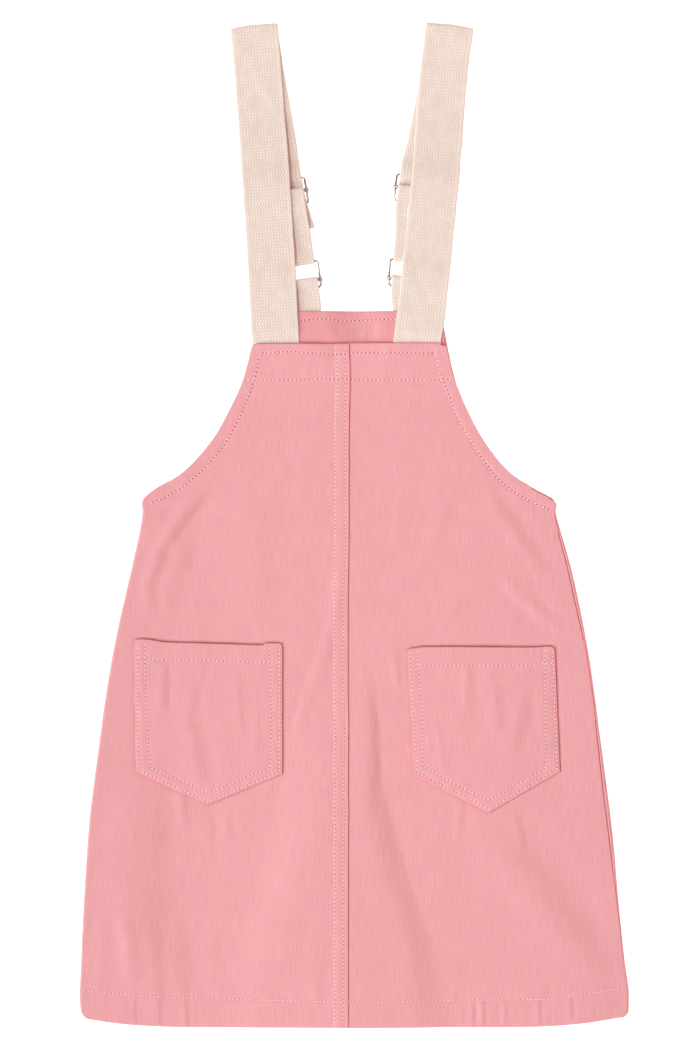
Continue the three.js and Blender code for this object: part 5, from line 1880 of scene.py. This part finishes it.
class DRESS_OT_stitching(Operator):
    """Makes the top stitching and the painted shade of its needle holes."""

    bl_idname = "dress.stitching"
    bl_label = "Top stitching"

    def execute(self, context):
        context.view_layer.update()
        front = laid_on(["front_left_cloth", "front_right_cloth"])
        hem, *bib, inner_seam, outer_seam = front_rows()
        self.lay("hem", [hem], front, 70, hole_share=0.45)
        self.lay("front", bib, front, 71, hole_share=1.1)
        self.lay("seam", [inner_seam, outer_seam], front, 76, hole_share=0.8, size=0.75)
        self.lay("facing", [fine_row(FACING_STITCHES)], laid_on(["facing_cloth"]), 72,
                 hole_share=1.15)
        for seed, (side, shape) in enumerate(POCKETS.items()):
            self.lay(f"pocket_{side}", pocket_rows(shape), laid_on([f"pocket_{side}_cloth"]),
                     73 + seed, hole_share=0.8)
        back_rows = [fine_row(row) for row in BACK_STITCHES]
        self.lay("back", back_rows, laid_on(["back_cloth"], -1), 75, -1)
        return {"FINISHED"}

    def lay(self, group, rows, height_at, seed, outward=1, hole_share=1.0, size=1.0):
        """Lays a group of stitch rows on the cloth, with painted needle-hole shade where it faces
        up.
        """
        runs = [stitch_ends(row, height_at) for row in rows]
        finish = thread("pink_thread", colours().thread)
        piece = stitches(f"stitches_{group}", np.concatenate(runs), finish, seed, outward, size)
        settle(piece, "twill")
        if outward > 0:
            hole = shadowed_cloth("needle_hole", colours().hole)
            settle(painted_hole_shades(f"painted_hole_shades_{group}", runs, hole, hole_share), "twill")


FLOOR_REACH = 3.0
FLOOR_HEIGHT = -0.0002
LAMP_PLACE = (-1.5, -0.5, 1.5)
VIEW_MIDDLE = (0.8, 400.8, 0.0)


class DRESS_OT_stage(Operator):
    """Makes the pale floor, the lights and the camera over the dress."""

    bl_idname = "dress.stage"
    bl_label = "Stage"

    def execute(self, context):
        self.make_floor()
        self.make_lights(context.scene)
        self.make_camera(context.scene)
        return {"FINISHED"}

    def make_floor(self):
        """A square of pale surface just under the dress."""
        mesh = bpy.data.meshes.new("floor")
        corners = [(-1, -1), (1, -1), (1, 1), (-1, 1)]
        mesh.from_pydata([(x * FLOOR_REACH, y * FLOOR_REACH, FLOOR_HEIGHT) for x, y in corners],
                         [], [(0, 1, 2, 3)])
        mesh.materials.append(pale_surface("pale_floor", colours().floor))
        floor = bpy.data.objects.new("floor", mesh)
        bpy.context.scene.collection.objects.link(floor)

    def make_lights(self, scene):
        """The room's even light, a high soft light and a low one for the folds."""
        world = bpy.data.worlds.new("room")
        world.use_nodes = True
        background = world.node_tree.nodes["Background"]
        background.inputs["Color"].default_value = (*colours().room, 1)
        background.inputs["Strength"].default_value = sizes().sky_strength
        scene.world = world
        self.make_sun("key_light", sizes().key_strength, sizes().key_height, sizes().key_spread)
        self.make_sun("low_light", sizes().rake_strength, sizes().rake_height,
                      sizes().rake_spread)

    def make_sun(self, name, strength, height, spread):
        """One light from the left, at a height above the floor."""
        light = bpy.data.lights.new(name, "SUN")
        light.color = colours().sunlight
        light.energy = strength
        light.angle = spread
        lamp = bpy.data.objects.new(name, light)
        lamp.location = LAMP_PLACE
        lamp.rotation_euler = (math.radians(90) - height, 0, sizes().light_turn)
        bpy.context.scene.collection.objects.link(lamp)

    def make_camera(self, scene):
        """The camera straight over the middle of the photo."""
        camera = bpy.data.cameras.new("camera")
        camera.lens = sizes().lens
        camera.sensor_width = 36.0
        camera.sensor_fit = "AUTO"
        holder = bpy.data.objects.new("camera", camera)
        view_middle = on_frame(VIEW_MIDDLE)
        holder.location = (view_middle[0], view_middle[1], sizes().camera_distance)
        holder.rotation_euler = (0, 0, 0)
        scene.collection.objects.link(holder)
        scene.camera = holder
        scene.view_settings.view_transform = "Standard"


class DRESS_PT_pieces(Panel):
    """Lists the pieces of the dress."""

    bl_label = "Pinafore dress"
    bl_idname = "DRESS_PT_pieces"
    bl_space_type = "VIEW_3D"
    bl_region_type = "UI"
    bl_category = "Dress"

    def draw(self, context):
        layout = self.layout
        for operator in PIECES:
            layout.operator(operator.bl_idname)
        for group in (context.scene.dress_sizes, context.scene.dress_colours):
            for name in group.__annotations__:
                layout.prop(group, name)


PIECES = (
    DRESS_OT_stage, DRESS_OT_back, DRESS_OT_front, DRESS_OT_pockets, DRESS_OT_straps,
    DRESS_OT_sliders, DRESS_OT_stitching,
)
CLASSES = (DressSizes, DressColours, *PIECES, DRESS_PT_pieces)


def register():
    """Registers the classes and their settings."""
    for item in CLASSES:
        bpy.utils.register_class(item)
    bpy.types.Scene.dress_sizes = PointerProperty(type=DressSizes)
    bpy.types.Scene.dress_colours = PointerProperty(type=DressColours)


def unregister():
    """Takes out what register put in."""
    del bpy.types.Scene.dress_colours
    del bpy.types.Scene.dress_sizes
    for item in reversed(CLASSES):
        bpy.utils.unregister_class(item)


def main():
    """Makes the dress and its stage."""
    register()
    for operator in PIECES:
        group, name = operator.bl_idname.split(".")
        result = getattr(getattr(bpy.ops, group), name)()
        if result != {"FINISHED"}:
            raise RuntimeError(f"{operator.bl_label} was not made")
    bpy.context.view_layer.update()


if __name__ == "__main__":
    main()
